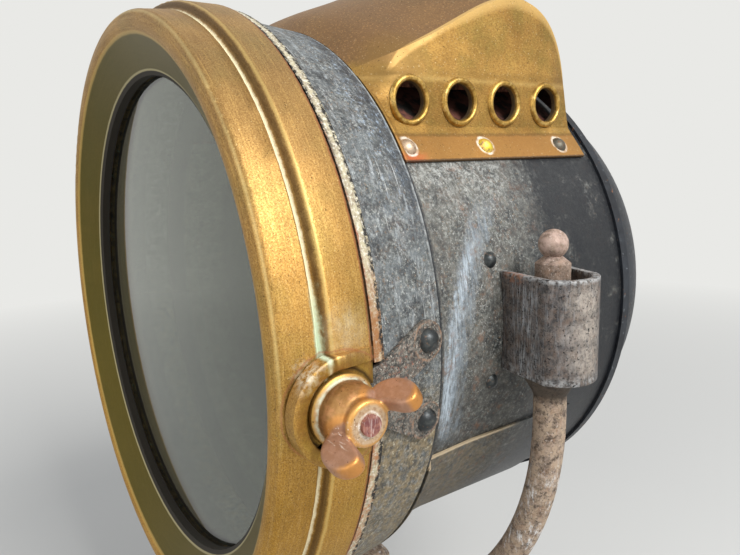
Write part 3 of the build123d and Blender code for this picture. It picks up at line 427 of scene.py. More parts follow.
def measure(mat):
    # places on the lamp: across, behind the front lip, above the lens axis, and round that axis
    place = addNode(mat, "TexCoord", out="Object")
    moved = addNode(mat, "VectorMath", {0: place, 1: (0, frontY, lensZ)}, operation="SUBTRACT")
    sized = addNode(mat, "VectorMath", {0: moved, "Scale": 1 / mm}, operation="SCALE")
    across, station, height = addNode(mat, "SeparateXYZ", {0: sized}, out=None)
    flat = addNode(mat, "VectorMath", {0: sized, 1: (1, 0, 1)}, operation="MULTIPLY")
    radius = addNode(mat, "VectorMath", {0: flat}, out="Value", operation="LENGTH")
    turn = addNode(mat, "Math", {0: height, 1: across}, operation="ARCTAN2")
    arc = addNode(mat, "Math", {0: turn, 1: bandRadius}, operation="MULTIPLY")
    around = addNode(mat, "CombineXYZ", {0: radius, 1: station, 2: arc})
    drop = addNode(mat, "Math", {0: height, 1: -runLook["foot"]}, operation="ADD")
    drop = addNode(mat, "Math", {0: drop, 1: drop}, operation="MULTIPLY")
    bowed = addNode(mat, "Math", {0: drop, 1: -runLook["bow"], 2: station}, operation="MULTIPLY_ADD")
    ragged = addNode(mat, "TexNoise", {"Vector": sized, **raggedLook})
    wave = addNode(mat, "Math", {0: ragged, 1: 0.5}, operation="SUBTRACT")
    return {"place": sized, "around": around, "across": across, "station": station, "height": height,
            "radius": radius, "bowed": bowed, "wave": wave}


def wear(colour=None, amount=1, rough=None, metal=None, **settings):
    # one layer: its colour, how much of it, its roughness and metal, and its rise in millimetres. It lies
    # where its pattern is (size, cut, soft and the rest), where a place is between two ends, such as
    # height=(from, to, softness, raggedness) or a list of such pairs, and near spots (across, station,
    # height, reach, softness, raggedness), of which ring keeps only the edge
    return {"colour": colour, "amount": amount, "rough": rough, "metal": metal, "on": "place", "seed": 0,
            "stretch": (1, 1, 1), "turn": (0, 0, 0), "cut": 0.5, "soft": 0.04, "detail": 4, "fine": 0.6,
            "near": (), "ring": 0, "rise": 0, **settings}


def makeMask(mat, spots, layer):
    # where a layer lies: its pattern, its ends and its spots, multiplied
    edges = []
    if "size" in layer:
        turned = addNode(mat, "Mapping", {
            "Vector": spots[layer["on"]], "Location": (layer["seed"] * seedShift, 0, 0),
            "Rotation": tuple(math.radians(angle) for angle in layer["turn"]),
            "Scale": tuple(1 / (layer["size"] * share) for share in layer["stretch"])})
        noise = addNode(mat, "TexNoise", {"Vector": turned, "Scale": 1.0, "Detail": layer["detail"],
                                          "Roughness": layer["fine"]})
        edges.append((noise, layer["cut"] - layer["soft"], layer["cut"] + layer["soft"]))
    for way in [way for way in spots if way in layer]:
        ends = layer[way] if isinstance(layer[way], list) else [layer[way]]
        for low, high, soft, wave in ends:
            value = addNode(mat, "Math", {0: spots["wave"], 1: wave * 2, 2: spots[way]},
                            operation="MULTIPLY_ADD")
            if low is not None:
                edges.append((value, low - soft, low + soft))
            if high is not None:
                edges.append((value, high + soft, high - soft))
    total = layer["amount"]
    for value, start, end in edges:
        mask = addNode(mat, "MapRange", {"Value": value, "From Min": start, "From Max": end})
        total = addNode(mat, "Math", {0: mask, 1: total}, operation="MULTIPLY")
    near = None
    for across, station, height, reach, soft, wave in layer["near"]:
        gap = addNode(mat, "VectorMath", {0: spots["place"], 1: (across, station, height)}, out="Value",
                      operation="DISTANCE")
        value = addNode(mat, "Math", {0: spots["wave"], 1: wave * 2, 2: gap}, operation="MULTIPLY_ADD")
        if layer["ring"]:
            value = addNode(mat, "Math", {0: value, 1: reach}, operation="SUBTRACT")
            value = addNode(mat, "Math", {0: value}, operation="ABSOLUTE")
        end = layer["ring"] or reach
        spot = addNode(mat, "MapRange", {"Value": value, "From Min": end + soft, "From Max": end - soft})
        near = spot if near is None else addNode(mat, "Math", {0: near, 1: spot}, operation="MAXIMUM")
    return total if near is None else addNode(mat, "Math", {0: near, 1: total}, operation="MULTIPLY")


def makeFinish(name, finish):
    # a base, then layers of wear over it, each with its colour, its gloss and its rise
    mat = bpy.data.materials.new(name)
    mat.use_nodes = True
    shader = mat.node_tree.nodes["Principled BSDF"]
    shader.inputs["Specular IOR Level"].default_value = finish.get("gloss", 0.5)
    spots = measure(mat)
    state = {"colour": linear(finish["colour"]), "rough": finish["rough"], "metal": finish["metal"]}
    rise = None
    for layer in finish["layers"]:
        mask = makeMask(mat, spots, layer)
        if layer["colour"]:
            state["colour"] = addNode(mat, "Mix", {0: mask, 6: state["colour"], 7: linear(layer["colour"])},
                                      out=2, data_type="RGBA")
        for way in ("rough", "metal"):
            if layer[way] is not None:
                state[way] = addNode(mat, "Mix", {0: mask, 2: state[way], 3: layer[way]})
        if layer["rise"]:
            rise = addNode(mat, "Math", {0: mask, 1: layer["rise"], 2: 0 if rise is None else rise},
                           operation="MULTIPLY_ADD")
    for way, socket in (("colour", "Base Color"), ("rough", "Roughness"), ("metal", "Metallic")):
        if isinstance(state[way], bpy.types.NodeSocket):
            mat.node_tree.links.new(state[way], shader.inputs[socket])
        else:
            shader.inputs[socket].default_value = state[way]
    if rise is not None:
        bump = addNode(mat, "Bump", {"Height": rise, "Distance": mm, "Strength": 1.0})
        mat.node_tree.links.new(bump, shader.inputs["Normal"])
    return mat


def paint(mat, *pieces):
    for piece in pieces:
        piece.data.materials.clear()
        piece.data.materials.append(mat)


# Aged brass, spun and hand rubbed: warm gold where it is touched, brown and olive where it has tarnished,
# with fine turning lines, cream specks of dried polish and dark pits. The specks are drawn twice their size
# so that they show
spunBrass = [
    wear("9A7338", on="around", size=30, soft=0.16, detail=3),
    wear("85783A", 0.5, on="around", size=24, cut=0.58, soft=0.1, detail=3, seed=3),
    # tarnish and a painted sky reflection grey the top, and a richer gold low down is painted light
    wear("88745C", 0.4, height=(62, None, 34, 10)),
    wear("B08420", 0.55, height=(None, -20, 34, 10)),
    wear("7C5A2E", 0.3, on="around", size=1.4, stretch=(0.7, 0.7, 9), cut=0.58, soft=0.1, seed=1),
    wear("D8B068", 0.3, on="around", size=1, stretch=(0.6, 0.6, 12), cut=0.6, soft=0.08, seed=8),
    wear("6E4E26", 0.5, 0.62, rise=-0.005, size=0.45, cut=0.54, soft=0.07, detail=3, seed=9),
    wear("D4B070", 0.32, size=0.5, cut=0.59, soft=0.06, detail=3, seed=10),
    wear(rough=0.58, rise=0.004, size=0.7, cut=0.52, soft=0.12, seed=2),
    wear("E6D2A0", 0.35, 0.6, size=0.7, cut=0.7, soft=0.02, detail=2, seed=5),
    wear("4E3B20", 0.8, 0.7, rise=-0.02, size=0.85, cut=0.7, soft=0.02, detail=2, seed=7),
]

bezelLook = {"colour": "BE944E", "rough": 0.48, "metal": 0.84, "layers": spunBrass + [
    # the cone inside the lip, painted dark olive as painted shade with a painted green reflection, and a
    # painted highlight along the lip's inner edge
    wear("4A4614", 0.88, 0.45, radius=(None, 112.8, 0.5, 0.3)),
    wear("C9A860", 0.5, 0.4, radius=(112.2, 113.4, 0.3, 0.2)),
    # painted shadow: the dark line beside the groove
    wear("503A1E", 0.75, station=(14.3, 15.4, 0.3, 0.3), radius=(119, None, 0.3, 0)),
    # painted highlights: bright lines on the hoop's front edge and the turn of the lip, and a pale line along
    # the groove, greener above
    wear("DDBF78", 0.5, 0.36, station=(15.7, 16.5, 0.3, 0.3), radius=(123.5, None, 0.3, 0)),
    wear("E2CE92", 0.45, 0.34, station=(None, 1.6, 0.3, 0), height=(-6, None, 14, 8),
         radius=(120, 121.3, 0.6, 0.4)),
    wear("E9E2C4", 0.85, 0.75, 0.15, rise=0.05, station=(13.1, 14, 0.2, 0.4), radius=(119, None, 0.3, 0)),
    wear("BDD3B8", 0.8, 0.7, 0.15, rise=0.05, station=(12.6, 14.4, 0.4, 1), height=(5, None, 4, 4),
         radius=(119, None, 0.3, 0), near=[(125, 14, 14, 11, 7, 5)]),
    # the rolled rear edge, rubbed pink, and painted shade behind it where it meets the rim
    wear("8E5238", 0.7, 0.5, station=(28.3, 28.9, 0.2, 0.5)),
    wear("3B2A1C", 0.85, 0.7, station=(28.8, None, 0.2, 0.4)),
    # whitish bloom above the pocket, and copper showing on its wall
    wear("C8BC9C", 0.5, 0.8, 0.3, size=3, cut=0.46, soft=0.16, detail=6, near=[(124, 21, 16, 5, 5, 5)]),
    wear("D8D2BE", 0.8, 0.8, 0.2, size=1.6, soft=0.08, near=[(126, 8, 6, 4, 3, 3)]),
    wear("A86A4C", 0.55, 0.5, near=[latchSpot + (17.3, 0.25, 0.8)], ring=0.25),
    wear("94782E", 0.6, 0.5, near=[latchSpot + (15.6, 0.8, 0.6)]),
    wear("7E5A30", 0.5, 0.55, size=3, soft=0.1, seed=12, near=[latchSpot + (17, 1.2, 1)]),
    # painted shadow: a dark ring round the wing nut's flange
    wear("2E2014", 0.9, 0.7, near=[latchSpot + (12, 0.5, 0.5)], ring=0.5),
    # gasket at the glass, with a thin light line at its edge
    wear("241E15", 1, 0.85, 0, radius=(None, 99.6, 0.15, 0.2)),
    wear("B4AA86", 0.75, 0.6, radius=(99.6, 100.3, 0.15, 0.1)),
]}

# The hood is rolled and folded brass sheet: the same metal, grain lengthways, with painted brown shade on top
hoodLook = {"colour": "B48D4A", "rough": 0.5, "metal": 0.82, "layers": [
    wear("8F6C36", size=20, soft=0.18),
    wear("786A34", 0.55, size=12, cut=0.56, soft=0.1, seed=3),
    wear("705026", 0.5, 0.62, rise=-0.005, size=0.5, stretch=(1, 2, 1), cut=0.53, soft=0.08, seed=1),
    wear("CDA860", 0.3, size=0.5, stretch=(1, 2.5, 1), cut=0.6, soft=0.06, seed=8),
    wear(rough=0.58, rise=0.004, size=0.7, cut=0.52, soft=0.12, seed=2),
    # the fold under the panel, rubbed bright, with a dull line above it
    wear("D9B873", 0.35, 0.4, height=(90.8, 92.4, 0.8, 0.8)),
    wear("7C6030", 0.4, 0.55, height=(92.8, 95.2, 1, 1)),
    # painted shade and a painted sky reflection: the arched top is painted brown, with paler flecks
    wear("7A5C45", 0.75, 0.55, 0.8, across=(-79.9, 79.9, 0.7, 0.8), height=(97, None, 1.5, 1)),
    wear("B68E5C", 0.6, size=0.8, cut=0.6, soft=0.06, seed=6, across=(-79.5, 79.5, 2, 2),
         height=(97, None, 1.5, 1)),
    # painted highlights along both sides of the crease
    wear("EBC27A", 0.75, 0.34, across=(79.5, 80.62, 0.12, 0), height=(94.5, None, 1, 0)),
    wear("EBC27A", 0.75, 0.34, across=(-80.62, -79.5, 0.12, 0), height=(94.5, None, 1, 0)),
    # dull at the crease's front end
    wear("86683A", 0.7, 0.68, near=[(79, 74, 97, 13, 6, 2)]),
    # the flange, coppery, with dirt along its bend and its edge
    wear("A2743F", 0.7, 0.5, height=(None, 71, 0.6, 1)),
    wear("5B4226", 0.5, 0.7, height=(70.6, 71.8, 0.4, 0.8)),
    wear("B05A2C", 0.9, 0.8, 0.2, height=(None, 64.5, 1, 2), near=[(94, 68, 63, 9, 4, 4)]),
    wear("3A2A1C", 0.8, 0.8, 0.3, height=(None, 62.5, 0.2, 0.3)),
    wear("E6D8B0", 0.4, 0.6, size=0.7, cut=0.69, soft=0.02, detail=2, seed=5),
    wear("4A371F", 0.8, 0.7, rise=-0.03, size=0.85, cut=0.69, soft=0.02, detail=2, seed=7),
    # pale rubbed rings round the rivets
    wear("DAD4C6", 0.85, 0.6, 0.4, size=3, cut=0.44, soft=0.12, seed=15,
         near=[(90.2, 71.2, 67, 3.8, 0.3, 0.5), (88, 111.5, 67, 3.8, 0.3, 0.5),
               (88, 155.1, 67, 3.8, 0.3, 0.5)], ring=0.6),
]}

# Inside, a century of acetylene soot
sootLook = {"colour": "1C1814", "rough": 0.9, "metal": 0, "layers": [
    wear("4A2E22", 0.8, size=6, cut=0.52, soft=0.08, detail=6),
    wear(rough=0.75, rise=0.03, size=1.2, soft=0.2, seed=3),
]}

# Eyelets of rolled brass: rubbed bright on the roll, brown in its hollows and black with soot in the hole
eyeletFinish = {"colour": "C09A50", "rough": 0.42, "metal": 0.88, "layers": [
    wear("8A6A30", size=4, soft=0.12),
    wear("E2C47E", 0.6, size=2.2, cut=0.6, soft=0.08, seed=4),
    wear("6E5228", 0.5, 0.6, size=0.6, cut=0.57, soft=0.06, seed=9),
    wear("33261A", 0.9, 0.8, 0.2, across=(-82.8, 82.8, 0.4, 0.3)),
]}

# Bronze casting of the wing nut, copper showing through: orange hub, pink ears, edges worn with a painted
# highlight
nutX, nutStation, nutHeight = latchSpot
earOut, earReach = nutLook["earMiddle"]
earLean = math.radians(nutLook["angle"])
earSpots = [(nutX + earReach, nutStation + side * math.cos(earLean) * earOut,
             nutHeight + side * math.sin(earLean) * earOut) for side in (1, -1)]
earEdges = [spot + (nutLook["earEdge"], 0.6, 0.5) for spot in earSpots]
earFaces = [spot + (nutLook["earFace"], 0.6, 0.8) for spot in earSpots]
nutFinish = {"colour": "A9804F", "rough": 0.45, "metal": 0.82, "layers": [
    wear("8E6438", size=5, soft=0.12, detail=5),
    wear("CB9468", 0.5, size=2.6, cut=0.56, soft=0.08, seed=2),
    # ears: worn bright at the edge with a painted highlight, pink brown inside it
    wear("CC8E4C", 0.7, 0.38, near=earEdges),
    wear("A27C66", 0.9, 0.5, 0.65, near=earFaces),
    wear("BC947E", 0.5, 0.5, size=2, cut=0.54, soft=0.1, seed=21, near=earFaces),
    wear("BE9650", 1, 0.42, across=(None, nutX + 2, 0.3, 0.3)),
    wear("C6CCB6", 0.75, 0.7, 0.2, size=3, cut=0.4, soft=0.1, seed=29,
         across=(nutX + 2.1, nutX + 2.8, 0.2, 0.4)),
    # painted shadow on the hub's lower side
    wear("4E3420", 0.6, 0.6, size=6, cut=0.48, soft=0.1, seed=5, across=(nutX + 3, nutX + 9, 0.8, 1),
         height=(None, nutHeight - 4, 1.5, 1.5)),
    # the raised end: a painted highlight on its rim, and a chalky face
    wear("CF9C58", 0.85, 0.4, across=(nutX + 12.2, None, 0.3, 0.2),
         near=[(nutX + 13, nutStation, nutHeight, 6.9, 0.2, 0.2)]),
    wear("AE9B82", 0.8, 0.75, 0.25, near=[(nutX + 14, nutStation, nutHeight, 5.5, 0.4, 0.6)]),
    wear("E4E0D4", 0.75, 0.75, 0.2, size=1.6, cut=0.44, soft=0.1, seed=27,
         near=[(nutX + 14, nutStation, nutHeight, 3.5, 0.3, 0.8)], ring=0.3),
    wear("8A6440", 0.6, 0.6, size=1.4, cut=0.56, soft=0.06, seed=23,
         near=[(nutX + 14, nutStation, nutHeight, 5.5, 0.4, 0.6)]),
    wear("E8DCD0", 0.8, 0.6, 0.3, size=0.8, stretch=(6, 0.5, 1), turn=(20, 0, 35), cut=0.63,
         near=[(nutX + 12, nutStation - 5, nutHeight - 4, 6, 1.5, 2)]),
    wear(rough=0.55, rise=0.015, size=0.8, soft=0.15, seed=9),
    wear("3C2616", 1, 0.8, rise=-0.03, size=1, cut=0.69, soft=0.03, seed=7),
]}

# The stud's end is bare steel with a coppery tarnish, scored white by a spanner
studFinish = {"colour": "A06E60", "rough": 0.55, "metal": 0.6, "layers": [
    wear("7A4A48", size=1.6, soft=0.1),
    wear("E6D9D2", 0.55, 0.6, 0.3, size=0.7, stretch=(1, 0.4, 5), turn=(25, 0, 0), cut=0.6, soft=0.05,
         seed=3),
    wear(rough=0.7, rise=0.03, size=0.5, soft=0.15, seed=5),
]}

# Black enamel on rolled steel, a century old: navy black where it holds, worn to grey metal with rust and
# chalky white specks where hands and weather reach it
wornBlack = [
    wear("5E605C", 1, 0.62, 0.4, rise=-0.02, size=7, soft=0.1, detail=9, fine=0.78),
    wear("66564A", 0.55, 0.85, 0.05, rise=0.02, size=8, cut=0.56, soft=0.08, detail=9, fine=0.78, seed=4),
    wear("ACAEA8", 0.7, 0.75, 0.15, rise=0.015, size=1.3, cut=0.54, soft=0.06, detail=5, fine=0.8, seed=6),
    wear("141618", 0.85, 0.5, 0, rise=0.02, size=1.5, cut=0.53, soft=0.06, detail=6, fine=0.8, seed=8),
    wear("DCDCD6", 0.7, 0.8, 0.1, rise=0.02, size=0.8, cut=0.66, soft=0.03, detail=3, seed=7),
    wear("80613F", 0.6, 0.85, 0, size=1.2, cut=0.63, soft=0.03, seed=10),
]

skirtLook = {"colour": "2E3237", "rough": 0.55, "metal": 0.3, "gloss": 0.4, "layers": wornBlack + [
    wear("7E8486", 0.6, 0.58, 0.35, on="around", size=5, cut=0.51, soft=0.1, detail=9, fine=0.78, seed=11),
    # darker navy along the rear edge above, with pale blue rubs
    wear("1B222C", 0.75, 0.45, 0, size=6, cut=0.44, soft=0.1, detail=9, fine=0.78, seed=13,
         station=(54, None, 3, 5), height=(40, None, 12, 10)),
    wear("9FAFC0", 0.7, 0.6, 0.2, size=1.6, stretch=(1, 1, 2), cut=0.6, soft=0.05, detail=6, fine=0.75,
         seed=15, station=(46, None, 3, 5), height=(50, None, 14, 10)),
    wear("1A1D20", 0.7, 0.5, 0, size=8, cut=0.55, soft=0.07, detail=9, fine=0.78, seed=30),
    wear("C2C8CA", 0.5, 0.75, 0.15, on="around", size=5, stretch=(1, 0.6, 2.4), turn=(35, 0, 0), cut=0.61,
         soft=0.06, detail=9, fine=0.8, seed=32),
    # slanting scratches down to bare metal
    wear("E4E6E4", 0.45, 0.45, 0.6, rise=-0.02, on="around", size=2, stretch=(1, 0.5, 14), turn=(38, 0, 0),
         cut=0.68, soft=0.03, seed=12),
    wear("E4E6E4", 0.4, 0.45, 0.6, rise=-0.02, on="around", size=1.6, stretch=(1, 0.5, 18), turn=(-30, 0, 0),
         cut=0.7, soft=0.03, seed=14),
    # tan below, rust at the front edge, and a painted highlight along the rear edge above
    wear("907C58", 0.7, 0.8, 0.1, size=3, cut=0.46, soft=0.1, detail=6, seed=16, height=(None, -16, 10, 16)),
    wear("23241F", 0.75, 0.6, 0, size=1.8, cut=0.52, soft=0.07, detail=8, fine=0.8, seed=24,
         height=(None, -8, 10, 16)),
    wear("C9C2AC", 0.7, 0.8, 0.1, size=1.1, cut=0.6, soft=0.05, detail=6, fine=0.8, seed=26,
         height=(None, -4, 10, 16)),
    wear("8A6040", 0.6, 0.85, 0, size=1.6, cut=0.54, soft=0.06, detail=6, seed=17,
         station=(None, 35.4, 0.6, 2), height=(None, 60, 10, 10)),
    wear("B9BCBA", 0.5, 0.6, 0.3, size=3, cut=0.44, soft=0.1, seed=18, station=(60.3, None, 0.3, 0.7),
         height=(30, None, 20, 16)),
]}

drumLook = {"colour": "2C2F33", "rough": 0.55, "metal": 0.2, "gloss": 0.35, "layers": wornBlack + [
    wear("7C7A72", 0.6, 0.62, 0.3, size=9, soft=0.12, detail=9, fine=0.78, seed=20),
    # chalky bloom under the hood's flange
    wear("C6C7C1", 0.5, 0.85, 0.05, rise=0.02, size=1.8, cut=0.54, soft=0.06, detail=8, fine=0.8, seed=21,
         across=(0, None, 1, 0), height=(48, None, 7, 10)),
    # dark and oily low down
    wear("211F1C", 0.7, 0.6, 0, size=2.6, cut=0.46, soft=0.12, detail=8, fine=0.8, seed=22,
         height=(None, -12, 9, 14)),
    wear("1F2224", 0.65, 0.5, 0, size=7, cut=0.56, soft=0.07, detail=9, fine=0.78, seed=34),
    # pale blue runs down the side
    wear("8E99A2", 0.6, 0.65, 0.15, size=3, stretch=(1.2, 0.6, 5), soft=0.12, detail=8, fine=0.75, seed=23,
         across=(0, None, 1, 0), height=(-38, 44, 5, 8),
         bowed=(runLook["station"] - 4, runLook["station"] + 8, 2, 5)),
    wear("BCC8D2", 0.75, 0.65, 0.15, size=1.5, stretch=(1, 0.6, 6), cut=0.51, soft=0.09, detail=8, fine=0.78,
         seed=25, across=(0, None, 1, 0), height=(-34, 30, 5, 8),
         bowed=(runLook["station"] - 2.2, runLook["station"] + 2.4, 1.2, 6)),
    wear("7A5A46", 0.6, 0.9, 0, rise=0.03, size=6, cut=0.62, soft=0.06, detail=7, fine=0.75, seed=27),
    # painted shadow: the rear of the drum painted near black
    wear("0F1218", 0.94, 0.4, 0, size=12, cut=0.34, soft=0.12, detail=8, fine=0.75, seed=29,
         station=(120, None, 12, 18)),
    # sooty inside
    wear("14130F", 1, 0.85, 0, radius=(None, 108.9, 0.2, 0)),
    # soot and rust under the hood
    wear("191613", 1, 0.9, 0, station=(62, 167, 0.5, 0.5), height=(74, None, 0.5, 0.5)),
    wear("6A4034", 0.9, 0.9, 0, size=7, soft=0.06, detail=5, seed=33, station=(64, 165, 0.5, 0.5),
         height=(74, None, 0.5, 0.5)),
    wear("12151A", 1, 0.5, 0, station=(None, 63, 0.6, 0.4)),
]}

# The belly sheet is the same, dustier, with bare tan metal along its lapped upper edge
bellyTop = (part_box("belly_sheet")[1].z - lensZ) / mm
bellyLook = {"colour": "302E2B", "rough": 0.6, "metal": 0.2, "gloss": 0.35, "layers": drumLook["layers"] + [
    wear("7E7058", 0.6, 0.85, 0.05, size=3, soft=0.08, detail=8, fine=0.8, seed=31,
         station=(None, 108, 8, 10)),
    wear("CDB898", 0.85, 0.6, 0.3, station=(None, 112, 6, 6), height=(bellyTop - 1.1, None, 0.3, 0.6)),
]}

# The back cap: glossy black stove enamel, darkened as painted shadow, with grey rubs and a few rust spots
capLook = {"colour": "0F1218", "rough": 0.36, "metal": 0, "gloss": 0.35, "layers": [
    wear("24282E", 1, 0.5, size=10, cut=0.55, soft=0.12, detail=6),
    wear("6C7074", 0.8, 0.55, 0.3, rise=-0.02, size=2.2, cut=0.66, detail=6, seed=3),
    wear("7A5238", 0.8, 0.9, rise=0.03, size=3, cut=0.68, soft=0.03, detail=5, seed=5),
    wear(rough=0.5, rise=0.015, size=1.4, soft=0.15, seed=6),
]}

# Front rim: the seat flange, enamel gone, chalky and rusting, with a black line of painted shadow at its
# front
rimLook = {"colour": "B3AA8E", "rough": 0.8, "metal": 0.1, "layers": [
    wear("8A7C68", rise=0.04, on="around", size=1.6, cut=0.54, soft=0.08, detail=6, fine=0.75),
    wear("DDD8C8", 0.75, rise=0.04, on="around", size=1, cut=0.56, soft=0.06, detail=5, seed=3),
    wear("8E4A2E", 0.8, 0.9, 0, rise=0.03, on="around", size=2, cut=0.4, soft=0.08, detail=6, seed=4,
         station=(None, 30.6, 0.4, 1.6), height=(None, 76, 14, 8)),
    wear("8C5A2A", 0.9, 0.9, 0, rise=0.05, on="around", size=2.4, cut=0.43, soft=0.1, detail=7, fine=0.75,
         seed=5, height=(-8, 28, 12, 10)),
    wear("A0683A", 0.8, 0.9, 0, rise=0.04, on="around", size=3, cut=0.52, soft=0.08, detail=7, fine=0.75,
         seed=9, height=(None, 0, 12, 10)),
    # painted shadow: a ragged black line in the gaps, at the front above and along the skirt
    wear("15120F", 1, 0.8, 0, on="around", size=1.6, cut=0.44, soft=0.05, detail=6, fine=0.75, seed=6,
         station=(None, 31.2, 0.3, 1.6), height=(62, None, 16, 8)),
    wear("15120F", 1, 0.8, 0, on="around", size=2, cut=0.46, soft=0.05, detail=6, fine=0.75, seed=7,
         station=(33, None, 0.3, 1.9)),
    wear("2A241E", 0.8, 0.8, radius=(None, 122.4, 0.3, 0.2)),
]}

# Bare iron, long rusted and handled: pink-brown rust, grey metal on the worn sides, white scratches
ironLook = {"colour": "A8947E", "rough": 0.68, "metal": 0.3, "layers": [
    wear("4A3D33", rise=0.04, size=4, cut=0.53, soft=0.07, detail=9, fine=0.78),
    wear("A69384", 0.7, 0.65, 0.4, rise=0.03, size=2, cut=0.54, soft=0.08, detail=8, fine=0.78, seed=3),
    wear("86644A", 0.55, 0.9, 0, size=3, cut=0.58, soft=0.07, detail=8, fine=0.75, seed=5),
    wear("CFC4BA", 0.6, 0.55, 0.5, size=0.8, cut=0.64, detail=5, seed=7),
    wear("E2E2E2", 0.85, 0.5, 0.5, size=2.6, stretch=(1, 1, 3), turn=(12, 0, 0), cut=0.6, soft=0.06, detail=8,
         fine=0.75, seed=9, height=(None, -52, 8, 10)),
    wear("2A231F", 0.8, 0.85, 0, rise=-0.06, size=1, cut=0.62, seed=11),
    # painted shadow: dark under the sockets
    wear("2E2720", 0.85, 0.7, height=[(-24.5, None, 1.5, 2), (None, 0, 1, 0)]),
    wear(rough=0.8, rise=0.03, size=0.6, soft=0.2, seed=13),
]}

# Sockets of forged iron: dark brown scale and pale runs, with tan rubs and painted light at the rear edge and
# rims
socketLook = {"colour": "454140", "rough": 0.6, "metal": 0.35, "layers": [
    wear("2E2B2A", rise=0.02, size=5, soft=0.08, detail=9, fine=0.78),
    wear("7E756E", 0.7, 0.7, size=1.8, cut=0.54, soft=0.08, detail=8, fine=0.8, seed=2),
    wear("6E5C50", 0.7, 0.8, rise=0.02, size=3.6, cut=0.54, soft=0.07, detail=8, fine=0.78, seed=4),
    # thin runs down the face, and a broad pale patch at its middle, painted light
    wear("A0A4A8", 0.4, 0.55, 0.4, rise=-0.01, size=1.1, stretch=(1, 1, 6), cut=0.6, soft=0.1, detail=8,
         fine=0.78, seed=6),
    wear("A49C96", 0.55, 0.65, 0.3, size=2.4, stretch=(1, 1, 2), soft=0.1, detail=7, fine=0.78, seed=16,
         near=[(138, 101, 2, 4, 3, 5), (138, 102, -6, 4, 3, 5)]),
    # rubbed and chipped to tan metal at the rear edge and the rims, brightened there as painted light
    wear("B0A69A", 0.7, 0.65, 0.3, size=1.6, cut=0.46, soft=0.1, detail=7, fine=0.8, seed=10,
         near=[(140, 107, 14, 6, 3, 4), (140, 108, 4, 6, 3, 4), (140, 108, -6, 6, 3, 4)]),
    wear("B4B9BD", 0.7, 0.5, 0.4, size=0.9, stretch=(1, 1, 9), cut=0.56, soft=0.08, detail=7, fine=0.75,
         seed=26, near=[(121, 97, 14, 6, 3, 4), (121, 97, 4, 6, 3, 4), (122, 97, -8, 7, 3, 4)]),
    wear("C2C4C4", 0.5, 0.6, 0.3, size=1.4, cut=0.48, soft=0.07, detail=6, seed=18,
         height=(20.6, None, 0.5, 1.2)),
    wear("C2C4C4", 0.4, 0.6, 0.3, size=2, cut=0.52, soft=0.07, detail=6, seed=19,
         height=(None, -12.5, 1.5, 2.5)),
    wear("9A6038", 0.7, 0.9, 0, rise=0.03, size=2, soft=0.07, detail=6, seed=8,
         near=[(114, 97, 22, 4, 2, 3), (118, 98, 22, 3, 2, 3)]),
    wear("1A1818", 1, 0.8, rise=-0.04, size=1, cut=0.62, seed=12),
    wear(rough=0.75, rise=0.02, size=0.6, soft=0.2, seed=14),
]}

# Latch plate of pressed steel: dark and dull with chalky specks, and copper showing at its raised edges
plateLook = {"colour": "4E4C48", "rough": 0.6, "metal": 0.35, "layers": [
    wear("2E2D2B", rise=0.015, size=3.2, soft=0.07, detail=9, fine=0.78),
    wear("948F84", 0.75, 0.7, size=1.2, cut=0.54, soft=0.06, detail=6, fine=0.8, seed=2),
    wear("9A7C68", 0.6, 0.75, size=1.3, cut=0.58, soft=0.06, detail=6, fine=0.75, seed=3),
    wear("9A5E48", 0.6, 0.85, 0, size=1.2, cut=0.61, soft=0.05, detail=5, seed=5,
         near=[(122, 42, -3, 8, 4, 4)]),
    wear("CFC8BC", 0.6, 0.7, size=0.8, cut=0.64, seed=7),
    # copper worn bright along the lobes' raised edges, and down the upper arm
    wear("A88368", 0.75, 0.45, 0.6, size=3, cut=0.48, soft=0.12, detail=6, seed=9,
         near=[(121.3, 53.6, 6.6, 6.2, 0.3, 1), (119.6, 53.6, -20.4, 6.2, 0.3, 1)], ring=0.25),
]}

# Turned steel of the rivets and the hinge pin: dark, half glossy, with grey rubs and a little rust
darkSteelLook = {"colour": "2E3132", "rough": 0.34, "metal": 0.6, "layers": [
    wear("5C5F5C", 0.5, 0.36, size=2.4, cut=0.56, soft=0.1),
    wear("7A5E48", 0.6, 0.8, 0.1, size=1.4, cut=0.64, soft=0.05, seed=3),
    wear(rough=0.5, rise=0.01, size=0.6, soft=0.2, seed=5),
]}

# Hood rivets: brass domes, one tarnished pink, one bright, and the rearmost painted grey as painted shadow
hoodRivetLook = {"colour": "B8A28A", "rough": 0.45, "metal": 0.8, "layers": [
    wear("D8AE74", station=(90, 130, 1, 0)),
    wear("E9D04A", 1, 0.3, size=2.4, cut=0.48, soft=0.1, station=(90, 130, 1, 0)),
    wear("5E5A50", 1, 0.5, station=(135, None, 1, 0)),
    wear("6A4A34", 0.7, 0.7, size=1.1, cut=0.58, soft=0.06, seed=3),
    wear(rough=0.55, rise=0.02, size=0.6, soft=0.2, seed=5),
]}

# Forged ball and collar of the finial: rust rubbed pink and pale on top
finialLook = {"colour": "8A7666", "rough": 0.6, "metal": 0.4, "layers": ironLook["layers"][:4] + [
    wear("C4AA9E", 0.65, 0.55, 0.4, size=2, cut=0.48, soft=0.12, seed=15, height=(27, None, 4, 3)),
    wear(rough=0.75, rise=0.04, size=0.7, soft=0.2, seed=13),
]}

# Baffle of thin sheet iron: matt red rust in scales
bafflesLook = {"colour": "6E4638", "rough": 0.85, "metal": 0.1, "layers": [
    wear("A05E46", rise=0.04, size=4, soft=0.08, detail=6),
    wear("C98A70", 0.8, size=2, cut=0.6, soft=0.05, seed=3),
    wear("2C1E1A", 0.8, size=5, cut=0.56, soft=0.06, seed=5),
]}

